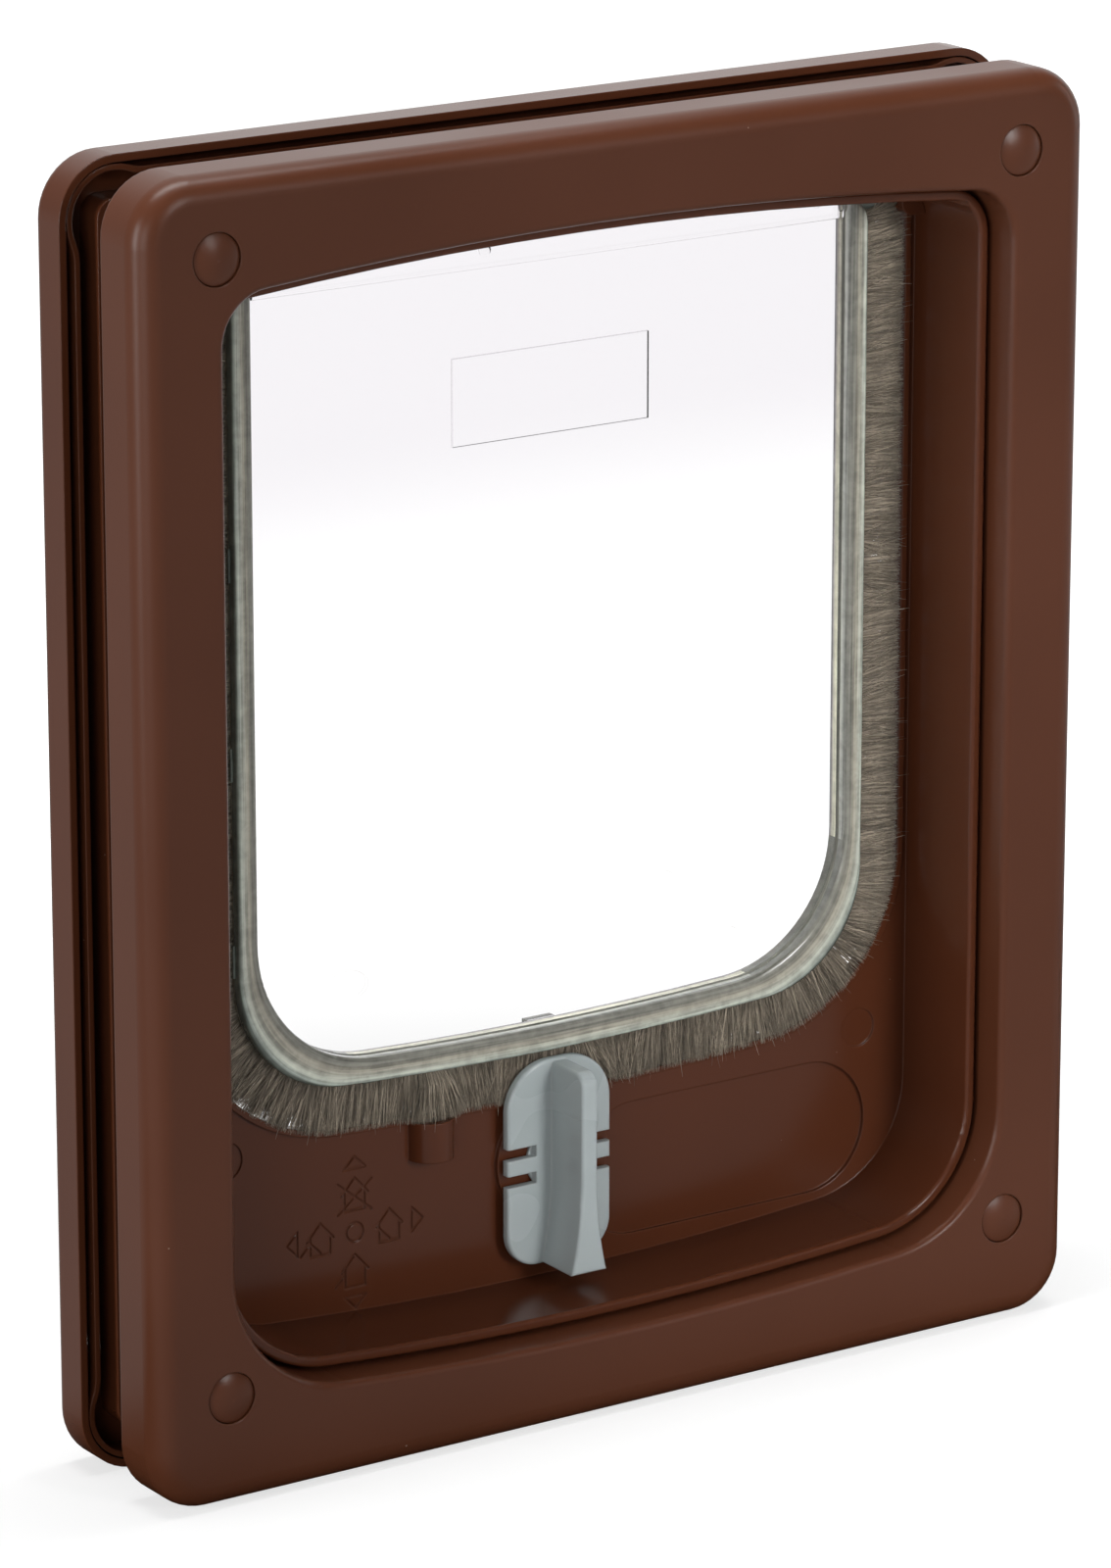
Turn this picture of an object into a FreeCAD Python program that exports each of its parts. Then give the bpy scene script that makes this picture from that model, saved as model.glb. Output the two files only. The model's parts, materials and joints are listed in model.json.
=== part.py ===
import FreeCAD, Part
import math
import os
import Sketcher

# Four-way locking cat flap for a door, seen from inside the house.
# X is to the right, Y points out of the house and Z is up. Millimetres.
# The origin is under the middle of the two frames, on the surface they stand on.

# Driving sizes: name, value, meaning. "behind" means behind the inner frame's face.
SIZES = (
    ("frame_width", 198.0, "width of both frames"),
    ("frame_height", 236.0, "height of both frames"),
    ("frame_corner", 11.0, "corner radius of both frames"),
    ("frame_depth", 12.2, "depth of the inner frame"),
    ("face_round", 4.5, "rounding of the inner frame's front edge"),
    ("frame_wall", 2.2, "outer side wall of the inner frame"),
    ("face_wall", 2.6, "face thickness of the inner frame"),
    ("door_space", 13.8, "space for the door between the frames"),
    ("rim_depth", 8.5, "depth of the outer frame's rim"),
    ("rear_round", 2.0, "rounding of the outer frame's rear edge"),
    ("side_border", 16.5, "inner frame's face beside the opening"),
    ("top_border", 16.8, "inner frame's face above the opening, at its middle"),
    ("opening_bottom", 15.8, "bottom of the opening at its middle"),
    ("opening_bow", 780.0, "radius of the bowed top and bottom of the opening"),
    ("opening_top_corner", 9.5, "upper corner radius of the opening"),
    ("opening_bottom_corner", 24.0, "lower corner radius of the opening"),
    ("opening_round", 1.2, "rounding of the opening's front edge"),
    ("lip_wall", 2.0, "wall round the inner frame's opening"),
    ("tunnel_groove", 0.8, "groove between the opening and the tunnel"),
    ("tunnel_wall", 2.0, "tunnel wall"),
    ("tunnel_start", 6.5, "tunnel's front edge, behind the face"),
    ("tunnel_round", 0.6, "rounding of the tunnel's front edge"),
    ("panel_start", 26.2, "panel's front, behind the face"),
    ("panel_wall", 2.3, "panel thickness"),
    ("doorway_inset", 5.3, "doorway's side inside the opening's side"),
    ("doorway_bottom", 53.6, "bottom of the doorway at its middle"),
    ("doorway_corner", 32.6, "lower corner radius of the doorway"),
    ("bead_width", 1.2, "width of the bead round the doorway"),
    ("bead_rise", 0.7, "height of the bead over the panel"),
    ("rim_edge", 1.4, "thin outer wall of the outer frame"),
    ("rim_floor", 2.3, "face thickness of the outer frame"),
    ("rib_inset_side", 3.6, "draught rib's middle line from the side edge"),
    ("rib_inset_top", 3.2, "draught rib's middle line from the top and bottom edges"),
    ("rib_width", 1.0, "draught rib's width"),
    ("rib_inset_corner", 2.2, "draught rib's middle line from the edge at a corner"),
    ("rib_sweep", 10.0, "radius where the rib sweeps out round a corner"),
    ("rib_drop", 0.2, "rib's edge below the rim's edge"),
    ("seat_inset", 7.5, "edge of the seat that meets the door"),
    ("seat_width", 2.0, "wall of the seat that meets the door"),
    ("cap_inset_side", 15.3, "caps and screws from the side edge"),
    ("cap_inset_top", 14.0, "upper caps and screws from the top edge"),
    ("cap_bottom", 20.1, "height of the lower caps"),
    ("cap_recess_half", 4.7, "radius of the cap recess"),
    ("cap_recess_depth", 1.0, "depth of the cap recess"),
    ("cap_gap", 0.15, "gap round a cap"),
    ("cap_proud", 0.6, "height of the cap's dome over the face"),
    ("cap_edge", 0.35, "dome's edge below the face"),
    ("cap_stem", 1.2, "length of the cap's stem"),
    ("head_half", 3.6, "screw head radius"),
    ("head_tall", 2.6, "screw head height"),
    ("head_start", 2.6, "screw head's top, behind the face"),
    ("shank_half", 2.0, "screw shank radius"),
    ("screw_length", 26.0, "screw length under the head"),
    ("screw_gap", 0.05, "radial gap round a screw"),
    ("boss_half", 5.8, "screw boss radius, inner frame"),
    ("anchor_half", 4.0, "screw boss radius, outer frame"),
    ("axis_drop", 9.0, "flap's hinge axis below the top of the opening"),
    ("flap_plane", 25.8, "flap's middle plane, behind the face"),
    ("pane_thick", 1.6, "pane thickness"),
    ("flap_gap", 10.0, "flap's side inside the doorway's side"),
    ("flap_lift", 8.7, "flap's bottom over the doorway's bottom, at its middle"),
    ("flap_corner", 22.6, "lower corner radius of the flap's rim"),
    ("rim_side", 4.0, "width of the rim at the sides"),
    ("rim_base", 4.7, "height of the rim at the bottom"),
    ("rim_inner_corner", 25.0, "lower corner radius inside the rim"),
    ("rim_thick", 5.6, "thickness of the whole rim"),
    ("rim_top_rise", 1.4, "upper ends of the rim over the hinge axis"),
    ("rim_top_corner", 5.0, "upper corner radius of the rim"),
    ("pile_top_gap", 4.7, "upper ends of the pile below the hinge axis"),
    ("slot_deep", 2.8, "depth of the slot that holds the pile's backing"),
    ("header_inset", 0.9, "end of the thick bar along the flap's top, inside the rim"),
    ("header_low", 2.3, "lower edge of the bar below the hinge axis"),
    ("header_high", 2.6, "upper edge of the bar over the hinge axis"),
    ("header_thick", 3.0, "thickness of the bar"),
    ("header_round", 0.6, "rounding of the bar's long edges"),
    ("header_mark_rise", 1.0, "middle of the bar's marks over the hinge axis"),
    ("header_mark_depth", 1.2, "depth of the bar's marks"),
    ("header_mark_half", 1.2, "radius of the two larger round marks"),
    ("header_mark_small", 0.75, "radius of the small round mark"),
    ("header_mark_first", 21.8, "first round mark from the bar's left end"),
    ("header_mark_second", -14.8, "second round mark from the middle"),
    ("header_mark_third", 6.0, "small round mark from the bar's right end"),
    ("header_mark_point", 6.1, "pointed mark from the bar's left end"),
    ("stub_half", 1.5, "stub axle radius"),
    ("stub_gap", 0.9, "stub axle's end inside the doorway's side"),
    ("running_gap", 0.05, "radial running clearance of axles and spindle"),
    ("tab_length", 6.0, "length of a clip tab"),
    ("tab_rise", 0.4, "height of a clip tab over the rim"),
    ("tab_pitch", 38.0, "lower clip tabs, centre to centre"),
    ("tab_side_pitch", 35.8, "side clip tabs, centre to centre"),
    ("tab_first", 27.9, "lowest side tab over the flap's bottom"),
    ("label_half", 20.8, "half width of the bare label field"),
    ("label_tall", 15.9, "height of the label field"),
    ("label_drop", 18.0, "top of the label field below the hinge axis"),
    ("label_depth", 0.5, "depth of the label field"),
    ("pile_clear", 0.5, "gap between the pile and the doorway"),
    ("above_corner", 2.2, "corner of a cut that runs out over the flap's top"),
    ("pile_gap", 0.05, "gap each side of the pile's backing"),
    ("pile_top_corner", 2.2, "rounding of the pile's top ends"),
    ("pile_joint_angle", 41.0, "joint in the pile, below the level, round the corner"),
    ("pile_joint_gap", 0.3, "gap at the joint in the pile"),
    ("bearing_width", 2.8, "bearing block inside the doorway"),
    ("bearing_drop", 3.1, "underside of the bearing block below the hinge axis"),
    ("bearing_round", 2.4, "rounding of the bearing's lower corners"),
    ("bearing_start", 22.9, "bearing block's front, behind the face"),
    ("bearing_depth", 5.5, "bearing block's depth"),
    ("seat_gap", 0.05, "gap between seated mouldings"),
    ("knob_gap", 1.6, "gap between the knob's plate and the flap's bottom"),
    ("plate_half", 11.2, "half width of the knob's plate"),
    ("plate_reach", 19.4, "knob's plate from its axis, up and down"),
    ("plate_start", 23.0, "plate's front, behind the face"),
    ("plate_thick", 1.6, "plate thickness"),
    ("plate_top_corner", 9.2, "upper corner radius of the plate"),
    ("plate_bottom_corner", 6.5, "lower corner radius of the plate"),
    ("fin_start", 13.0, "fin's front, behind the face"),
    ("fin_half", 1.7, "half width of the fin"),
    ("fin_flare_half", 3.8, "half width of the fin's lower end"),
    ("fin_flare_reach", 19.0, "fin's lower end below the axis"),
    ("fin_flare_start", 1.2, "start of the flare below the axis"),
    ("fin_top", 19.0, "fin's upper end over the axis"),
    ("fin_nose", 2.5, "rounding of the fin's upper front edge"),
    ("fin_edge", 0.6, "rounding of the fin's other edges"),
    ("slit_wide", 2.2, "width of a slit beside a detent tongue"),
    ("slit_place", 2.55, "middle of a slit from the axis, up and down"),
    ("slit_end", 5.0, "inner end of a slit from the middle"),
    ("collar_half", 6.0, "radius of the knob's collar"),
    ("collar_gap", 0.05, "gap between collar and lock boss"),
    ("lock_boss_half", 12.0, "radius of the lock boss on the panel"),
    ("lock_boss_rise", 1.0, "height of the lock boss over the panel"),
    ("dimple_half", 1.4, "radius of a detent dimple"),
    ("dimple_place", 8.9, "detent dimples from the axis"),
    ("dimple_depth", 0.4, "depth of a detent dimple"),
    ("bump_half", 1.1, "radius of a detent bump"),
    ("bump_rise", 0.3, "height of a detent bump"),
    ("spindle_half", 3.9, "spindle radius"),
    ("square_half", 2.1, "half width of the spindle's square end"),
    ("cam_start", 28.8, "cam's front, behind the face"),
    ("cam_tier", 1.2, "thickness of a tier of fingers"),
    ("cam_length", 4.4, "length of the cam"),
    ("cam_hub_half", 6.2, "cam hub radius"),
    ("finger_overlap", 1.9, "overlap of a raised finger with the striker's lip"),
    ("finger_half", 3.0, "half width of a finger"),
    ("cam_screw_half", 1.4, "cam screw shank radius"),
    ("cam_head_half", 3.2, "cam screw head radius"),
    ("cam_head_tall", 1.1, "cam screw head height"),
    ("cam_screw_length", 8.0, "cam screw length under the head"),
    ("striker_half", 3.0, "half width of the striker"),
    ("striker_drop", 0.7, "striker's lowest edge below the flap's bottom"),
    ("striker_arm_lift", 1.8, "underside of the striker's arm over the flap's bottom"),
    ("striker_arm_tall", 2.5, "height of the striker's arm"),
    ("striker_lip", 1.0, "thickness of the striker's lip"),
    ("striker_gap", 0.5, "gap between the striker's lip and a tier of fingers"),
    ("stake_half", 0.75, "radius of the striker's two stakes"),
    ("stake_place", 1.7, "stakes from the striker's middle"),
    ("stake_length", 1.4, "length of a stake in the flap's rim"),
    ("magnet_place", -26.0, "middle of the magnets from the middle of the flap"),
    ("magnet_boss_half", 4.5, "radius of the magnet boss"),
    ("magnet_boss_tall", 7.4, "height of the magnet boss"),
    ("magnet_space", 2.9, "gap between the magnet boss and the flap magnet"),
    ("magnet_half", 2.5, "radius of the panel magnet"),
    ("magnet_tall", 5.0, "height of the panel magnet"),
    ("magnet_sunk", 0.2, "panel magnet's top below its boss"),
    ("keeper_half", 3.5, "half width of the flap magnet"),
    ("keeper_tall", 5.7, "height of the flap magnet"),
    ("keeper_drop", 0.3, "top of the flap magnet below the flap's bottom"),
    ("keeper_thick", 1.9, "thickness of the flap magnet"),
    ("holder_margin", 0.8, "holder tab round the flap magnet"),
    ("pile_notch_half", 12.2, "half width of the notch in the pile over the knob"),
    ("mark_inset", 13.5, "round marks from the opening's side"),
    ("mark_drop", 0.6, "round marks below the doorway's bottom"),
    ("mark_half", 3.7, "radius of a round mark"),
    ("mark_depth", 0.35, "depth of a round mark"),
    ("plaque_left", 18.5, "left arc's centre of the bare plaque recess"),
    ("plaque_inset", 24.7, "right arc's centre from the opening's side"),
    ("plaque_drop", 6.0, "plaque recess's middle line below the lock's axis"),
    ("plaque_half", 12.8, "half height of the plaque recess"),
    ("plaque_depth", 0.8, "depth of the plaque recess"),
    ("icons_inset", 40.5, "middle of the icons from the opening's left side"),
    ("icons_drop", 6.7, "middle of the icons below the lock's axis"),
    ("icon_line", 0.45, "width of an engraved line"),
    ("icon_depth", 0.3, "depth of an engraved line"),
    ("icon_ring", 1.75, "radius of the icons' middle ring"),
    ("house_place", 7.3, "houses from the icons' middle"),
    ("house_size", 6.1, "height of a house"),
    ("house_half", 2.1, "half the width of a house between its walls"),
    ("house_roof", 2.8, "half the width of a house's roof"),
    ("house_eaves", 3.1, "height of the roof"),
    ("door_up", 2.6, "hinge of a house's little door over the ground"),
    ("door_swing", 2.1, "how far a little door swings"),
    ("cross_half", 3.6, "half the width of the cross over the upper house"),
    ("cross_tall", 2.9, "half the height of that cross"),
    ("cross_drop", 0.6, "middle of the cross under the house's middle"),
    ("arrow_place", 12.1, "arrowheads' feet from the icons' middle"),
    ("arrow_size", 4.6, "width of an arrowhead"),
)

# Sizes that follow from the driving ones.
PLACES = (
    ("opening_half", "=frame_width / 2 - side_border"),
    ("opening_top", "=frame_height - top_border"),
    ("cap_across", "=frame_width - 2 * cap_inset_side"),
    ("cap_top", "=frame_height - cap_inset_top"),
    ("doorway_half", "=opening_half - doorway_inset"),
    ("axis_up", "=opening_top - axis_drop"),
    ("flap_half", "=doorway_half - flap_gap"),
    ("flap_bottom", "=doorway_bottom + flap_lift"),
    ("rim_inner_half", "=flap_half - rim_side"),
    ("rim_inner_bottom", "=flap_bottom + rim_base"),
    ("header_half", "=rim_inner_half - header_inset"),
    ("stub_reach", "=doorway_half - stub_gap"),
    ("label_high", "=axis_up - label_drop"),
    ("label_low", "=label_high - label_tall"),
    ("pile_half", "=doorway_half - pile_clear"),
    ("pile_bottom", "=doorway_bottom + pile_clear"),
    ("pile_corner", "=doorway_corner - pile_clear"),
    ("bearing_low", "=axis_up - bearing_drop"),
    ("hub_up", "=flap_bottom - knob_gap - plate_reach"),
    ("striker_low", "=flap_bottom - striker_drop"),
    ("striker_arm_low", "=flap_bottom + striker_arm_lift"),
    ("striker_arm_high", "=striker_arm_low + striker_arm_tall"),
    ("finger_reach", "=striker_low - hub_up + finger_overlap"),
    ("keeper_high", "=flap_bottom - keeper_drop"),
    ("keeper_low", "=keeper_high - keeper_tall"),
    ("magnet_boss_high", "=keeper_low - magnet_space"),
    ("magnet_boss_low", "=magnet_boss_high - magnet_boss_tall"),
    ("mark_place", "=opening_half - mark_inset"),
    ("mark_up", "=doorway_bottom - mark_drop"),
    ("plaque_right", "=opening_half - plaque_inset"),
    ("plaque_up", "=hub_up - plaque_drop"),
    ("icons_across", "=icons_inset - opening_half"),
    ("icons_up", "=hub_up - icons_drop"),
    ("total_depth", "=frame_depth + door_space + rim_depth"),
    ("face", "=(cap_proud - total_depth) / 2"),
    ("rim_front", "=face + frame_depth + door_space"),
    ("rear", "=face + total_depth"),
    ("tunnel_front", "=face + tunnel_start"),
    ("panel_front", "=face + panel_start"),
    ("panel_rear", "=face + panel_start + panel_wall"),
    ("tunnel_inset", "=tunnel_groove + tunnel_wall"),
    ("flap_mid", "=face + flap_plane"),
    ("pane_front", "=flap_mid - pane_thick / 2"),
    ("pane_rear", "=flap_mid + pane_thick / 2"),
    ("flap_front", "=flap_mid - rim_thick / 2"),
    ("flap_rear", "=flap_mid + rim_thick / 2"),
    ("plate_front", "=face + plate_start"),
    ("plate_rear", "=face + plate_start + plate_thick"),
    ("fin_front", "=face + fin_start"),
    ("lock_boss_front", "=panel_front - lock_boss_rise"),
    ("cam_front", "=face + cam_start"),
    ("cam_rear", "=face + cam_start + cam_length"),
    ("above", "=opening_top + rim_thick"),
    ("rim_top", "=axis_up + rim_top_rise"),
    ("pile_top", "=axis_up - pile_top_gap"),
    ("lip_front", "=cam_front + cam_tier + striker_gap"),
    ("lip_rear", "=lip_front + striker_lip"),
    ("cam_split", "=(lip_front + lip_rear) / 2"),
)

SIDES = (("left", -1), ("right", 1))
LEVELS = (("top", "cap_top"), ("bottom", "cap_bottom"))
XZ, XY, YZ = "XZ_Plane", "XY_Plane", "YZ_Plane"

doc = FreeCAD.newDocument("cat_flap")
sheet = doc.addObject("Spreadsheet::Sheet", "Sizes")
for row, (alias, number, meaning) in enumerate(SIZES, start=1):
    sheet.set(f"A{row}", meaning)
    sheet.set(f"B{row}", str(number))
    sheet.setAlias(f"B{row}", alias)
for row, (alias, formula) in enumerate(PLACES, start=len(SIZES) + 1):
    sheet.set(f"B{row}", formula)
    sheet.setAlias(f"B{row}", alias)
doc.recompute()

NAMES = sorted([entry[0] for entry in SIZES + PLACES], key=len, reverse=True)
sub_parts = []


def bound(text):
    """The text with every size name turned into a reference to the sheet."""
    words = []
    word = ""
    for letter in text + " ":
        if letter.isalnum() or letter == "_":
            word += letter
            continue
        words.append(f"Sizes.{word}" if word in NAMES else word)
        words.append(letter)
        word = ""
    return "".join(words).strip()


def value(text):
    """The number that an expression of size names stands for."""
    return float(sheet.evalExpression(bound(text)))


def bind(thing, path, text):
    thing.setExpression(path, bound(text))


def new_body(label):
    body = doc.addObject("PartDesign::Body", label)
    body.Label = label
    return body


def sketch_on(body, role, offset, name):
    """A sketch on one of the body's own planes, moved along the plane's normal."""
    sketch = body.newObject("Sketcher::SketchObject", name)
    plane = [part for part in body.Origin.OriginFeatures if part.Role == role][0]
    sketch.AttachmentSupport = [(plane, "")]
    sketch.MapMode = "FlatFace"
    bind(sketch, "AttachmentOffset.Base.z", offset)
    return sketch


def at_depth(body, depth, name):
    """A sketch that looks along +Y, at a depth along Y. Its normal is -Y."""
    return sketch_on(body, XZ, f"-({depth})", name)


def pad(body, sketch, length, away=True, middle=False):
    feature = body.newObject("PartDesign::Pad", sketch.Name + "_pad")
    feature.Profile = sketch
    feature.Reversed = away
    feature.Midplane = middle
    bind(feature, "Length", length)
    sketch.Visibility = False
    doc.recompute()
    return feature


def pocket(body, sketch, length, towards=False, middle=False):
    feature = body.newObject("PartDesign::Pocket", sketch.Name + "_pocket")
    feature.Profile = sketch
    feature.Reversed = towards
    feature.Midplane = middle
    bind(feature, "Length", length)
    doc.recompute()
    return feature


def edge_names(shape, test):
    return [f"Edge{place}" for place, edge in enumerate(shape.Edges, start=1) if test(edge)]


def fillet(body, base, radius, test):
    feature = body.newObject("PartDesign::Fillet", base.Name + "_round")
    feature.Base = (base, edge_names(base.Shape, test))
    bind(feature, "Radius", radius)
    doc.recompute()
    return feature


def flat_at(axis, place):
    """A test for edges that lie in one plane across an axis."""
    low, high = axis + "Min", axis + "Max"

    def test(edge):
        box = edge.BoundBox
        return abs(getattr(box, low) - place) < 1e-4 and abs(getattr(box, high) - place) < 1e-4
    return test


def inside_x(half):
    return lambda edge: max(abs(edge.BoundBox.XMin), abs(edge.BoundBox.XMax)) < half


def both(*tests):
    return lambda edge: all(test(edge) for test in tests)


def crown_arc(start, stop):
    """An arc about the sketch's upright axis, from a point on that axis."""
    rise = stop.y - start.y
    bend = (rise ** 2 + stop.x ** 2) / (2 * rise)
    middle = FreeCAD.Vector(0, start.y + bend, 0)
    turn = math.atan2(stop.y - middle.y, stop.x)
    return Part.ArcOfCircle(Part.Circle(middle, FreeCAD.Vector(0, 0, 1), bend), -math.pi / 2, turn)


def polygon(sketch, points, crown=False):
    """A closed outline of straight lines; each corner is held by two expressions. With a
    crown, the first side is an arc about the upright axis."""
    corners = [FreeCAD.Vector(value(across), value(up), 0) for across, up in points]
    first = sketch.GeometryCount
    for place, corner in enumerate(corners):
        after = corners[(place + 1) % len(corners)]
        arched = crown and place == 0
        side = crown_arc(corner, after) if arched else Part.LineSegment(corner, after)
        sketch.addGeometry(side, False)
    if crown:
        sketch.addConstraint(Sketcher.Constraint("PointOnObject", first, 3, -2))
    for place, (across, up) in enumerate(points):
        line = first + place
        after = first + (place + 1) % len(points)
        sketch.addConstraint(Sketcher.Constraint("Coincident", line, 2, after, 1))
        for kind, text, number in (("DistanceX", across, corners[place].x),
                                   ("DistanceY", up, corners[place].y)):
            held = sketch.addConstraint(Sketcher.Constraint(kind, -1, 1, line, 1, number))
            bind(sketch, f"Constraints[{held}]", text)


def rectangle(sketch, left, right, low, high):
    polygon(sketch, ((left, low), (right, low), (right, high), (left, high)))


def circle(sketch, across, up, radius):
    centre = FreeCAD.Vector(value(across), value(up), 0)
    line = sketch.addGeometry(Part.Circle(centre, FreeCAD.Vector(0, 0, 1), value(radius)), False)
    for kind, text, number in (("DistanceX", across, centre.x), ("DistanceY", up, centre.y)):
        held = sketch.addConstraint(Sketcher.Constraint(kind, -1, 1, line, 3, number))
        bind(sketch, f"Constraints[{held}]", text)
    held = sketch.addConstraint(Sketcher.Constraint("Radius", line, value(radius)))
    bind(sketch, f"Constraints[{held}]", radius)


def end_side(up, radius, half, corner, sign):
    """Centre of a corner arc, and the end edge's touching points, for a bowed or flat end.
    up is the end's height at the middle, radius the end's bow or None, sign +1 at the top."""
    across = half - corner
    if radius is None:
        return up - sign * corner, across, up
    middle = up - sign * radius
    drop = math.sqrt((radius - corner) ** 2 - across ** 2)
    centre = middle + sign * drop
    share = radius / (radius - corner)
    return centre, across * share, middle + sign * drop * share


def window(sketch, half, low, high, low_corner, high_corner, low_bow=None, high_bow=None):
    """A closed outline, symmetric about the middle: upright sides, round corners, and
    ends that are flat or bowed. A bow is the radius of an arc whose middle is inside."""
    wide = value(half)
    ends = {}
    for sign, up, corner, bow in ((-1, low, low_corner, low_bow), (1, high, high_corner, high_bow)):
        turn = value(corner)
        bend = value(bow) if bow else None
        ends[sign] = (end_side(value(up), bend, wide, turn, sign), turn, bend, up)
    vector = FreeCAD.Vector
    upward = vector(0, 0, 1)
    first = sketch.GeometryCount

    def corner_arc(sign, side):
        (centre, touch, height), turn, bend, up = ends[sign]
        middle = vector(side * (wide - turn), centre, 0)
        angle = math.atan2(height - centre, side * touch - middle.x)
        flank = 0.0 if side > 0 else math.pi
        start, stop = (angle, flank) if side * sign < 0 else (flank, angle)
        return Part.ArcOfCircle(Part.Circle(middle, upward, turn), start, stop)

    def end_line(sign):
        (centre, touch, height), turn, bend, up = ends[sign]
        start = vector(-sign * -touch, height, 0)
        stop = vector(sign * -touch, height, 0)
        if bend is None:
            return Part.LineSegment(start, stop)
        middle = vector(0, value(up) - sign * bend, 0)
        first_angle = math.atan2(start.y - middle.y, start.x)
        last_angle = math.atan2(stop.y - middle.y, stop.x)
        return Part.ArcOfCircle(Part.Circle(middle, upward, abs(bend)), first_angle, last_angle)

    # Counter-clockwise from the middle of the bottom.
    right_low, right_high = ends[-1][0][0], ends[1][0][0]
    shapes = (
        end_line(-1), corner_arc(-1, 1),
        Part.LineSegment(vector(wide, right_low, 0), vector(wide, right_high, 0)),
        corner_arc(1, 1), end_line(1), corner_arc(1, -1),
        Part.LineSegment(vector(-wide, right_high, 0), vector(-wide, right_low, 0)),
        corner_arc(-1, -1))
    for shape in shapes:
        sketch.addGeometry(shape, False)
    count = len(shapes)
    for place in range(count):
        here, after = first + place, first + (place + 1) % count
        sketch.addConstraint(Sketcher.Constraint("Tangent", here, 2, after, 1))

    def hold(kind, text, number, *where):
        held = sketch.addConstraint(Sketcher.Constraint(kind, *where, number))
        bind(sketch, f"Constraints[{held}]", text)

    for line, side in ((first + 2, 1), (first + 6, -1)):
        sketch.addConstraint(Sketcher.Constraint("Vertical", line))
        hold("DistanceX", f"{side} * ({half})", side * wide, -1, 1, line, 1)
    for arc, corner in ((1, low_corner), (7, low_corner), (3, high_corner), (5, high_corner)):
        hold("Radius", corner, value(corner), first + arc)
    for line, sign, up, bow in ((first, -1, low, low_bow), (first + 4, 1, high, high_bow)):
        if bow is None:
            hold("DistanceY", up, value(up), -1, 1, line, 1)
            continue
        hold("Radius", bow, value(bow), line)
        sketch.addConstraint(Sketcher.Constraint("PointOnObject", line, 3, -2))
        text = f"{up} - ({sign}) * ({bow})"
        hold("DistanceY", text, value(text), -1, 1, line, 3)


def opening_outline(sketch, inset):
    """The inner frame's opening, made smaller all round by an inset."""
    window(sketch, f"opening_half - ({inset})", f"opening_bottom + ({inset})",
           f"opening_top - ({inset})", f"opening_bottom_corner - ({inset})",
           f"opening_top_corner - ({inset})", f"opening_bow - ({inset})", f"opening_bow - ({inset})")


def frame_outline(sketch, inset):
    """The outline of both frames, made smaller all round by an inset."""
    window(sketch, f"frame_width / 2 - ({inset})", inset, f"frame_height - ({inset})",
           f"frame_corner - ({inset})", f"frame_corner - ({inset})")


def doorway_outline(sketch, outset):
    """The panel's doorway, made larger all round; its top is the tunnel's roof."""
    window(sketch, f"doorway_half + {outset}", f"doorway_bottom - {outset}",
           f"opening_top - tunnel_inset + {outset}", f"doorway_corner + {outset}",
           f"tunnel_wall / 2 + {outset}", f"opening_bow + {outset}",
           f"opening_bow - tunnel_inset + {outset}")


def flap_outline(sketch, inset, top, corner="rim_top_corner"):
    """The flap's outline, made smaller at the sides and bottom by an inset."""
    window(sketch, f"flap_half - ({inset})", f"flap_bottom + ({inset})", top,
           f"flap_corner - ({inset})", corner, f"opening_bow - ({inset})")


def rim_hole(body, name, depth, length):
    """Opens the middle of the rim, so that a U is left, open at the top."""
    sketch = at_depth(body, depth, name)
    window(sketch, "rim_inner_half", "rim_inner_bottom", "above", "rim_inner_corner",
           "above_corner", "opening_bow")
    return pocket(body, sketch, length)


def keep(thing, label):
    thing.Label = label
    sub_parts.append(thing)
    return thing


def corner_places():
    """The four screw places: name, side and the height's size name."""
    for level, height in LEVELS:
        for side, sign in SIDES:
            yield f"{level}_{side}", f"{sign} * cap_across / 2", height


def circles_at_corners(body, depth, name, radius):
    sketch = at_depth(body, depth, name)
    for corner, across, up in corner_places():
        circle(sketch, across, up, radius)
    return sketch


def make_inner_frame():
    """Front trim frame: a hollow moulding, open towards the door."""
    body = new_body("inner_frame")
    sketch = at_depth(body, "face", "inner_outline")
    frame_outline(sketch, "0")
    block = pad(body, sketch, "frame_depth")
    block = fillet(body, block, "face_round", flat_at("Y", value("face")))
    sketch = at_depth(body, "face", "inner_opening")
    opening_outline(sketch, "0")
    hole = pocket(body, sketch, "frame_depth")
    near = both(flat_at("Y", value("face")), inside_x(value("opening_half") + 1))
    fillet(body, hole, "opening_round", near)
    sketch = at_depth(body, "face + face_wall", "inner_hollow")
    frame_outline(sketch, "frame_wall")
    opening_outline(sketch, "-lip_wall")
    pocket(body, sketch, "frame_depth")
    pad(body, circles_at_corners(body, "face + face_wall / 2", "inner_boss", "boss_half"),
        "frame_depth - face_wall / 2")
    pocket(body, circles_at_corners(body, "face", "cap_recess", "cap_recess_half"),
           "cap_recess_depth")
    pocket(body, circles_at_corners(body, "face", "head_recess", "head_half + cap_gap"),
           "head_start + head_tall")
    pocket(body, circles_at_corners(body, "face", "shank_hole", "shank_half + screw_gap"),
           "frame_depth")
    keep(body, "inner_frame")


def ring_pocket(body, name, outer, inner):
    """A channel in the outer frame's rim between two insets of its outline."""
    sketch = at_depth(body, "rim_front", name)
    frame_outline(sketch, outer)
    frame_outline(sketch, inner)
    return pocket(body, sketch, "rim_depth - rim_floor")


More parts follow.
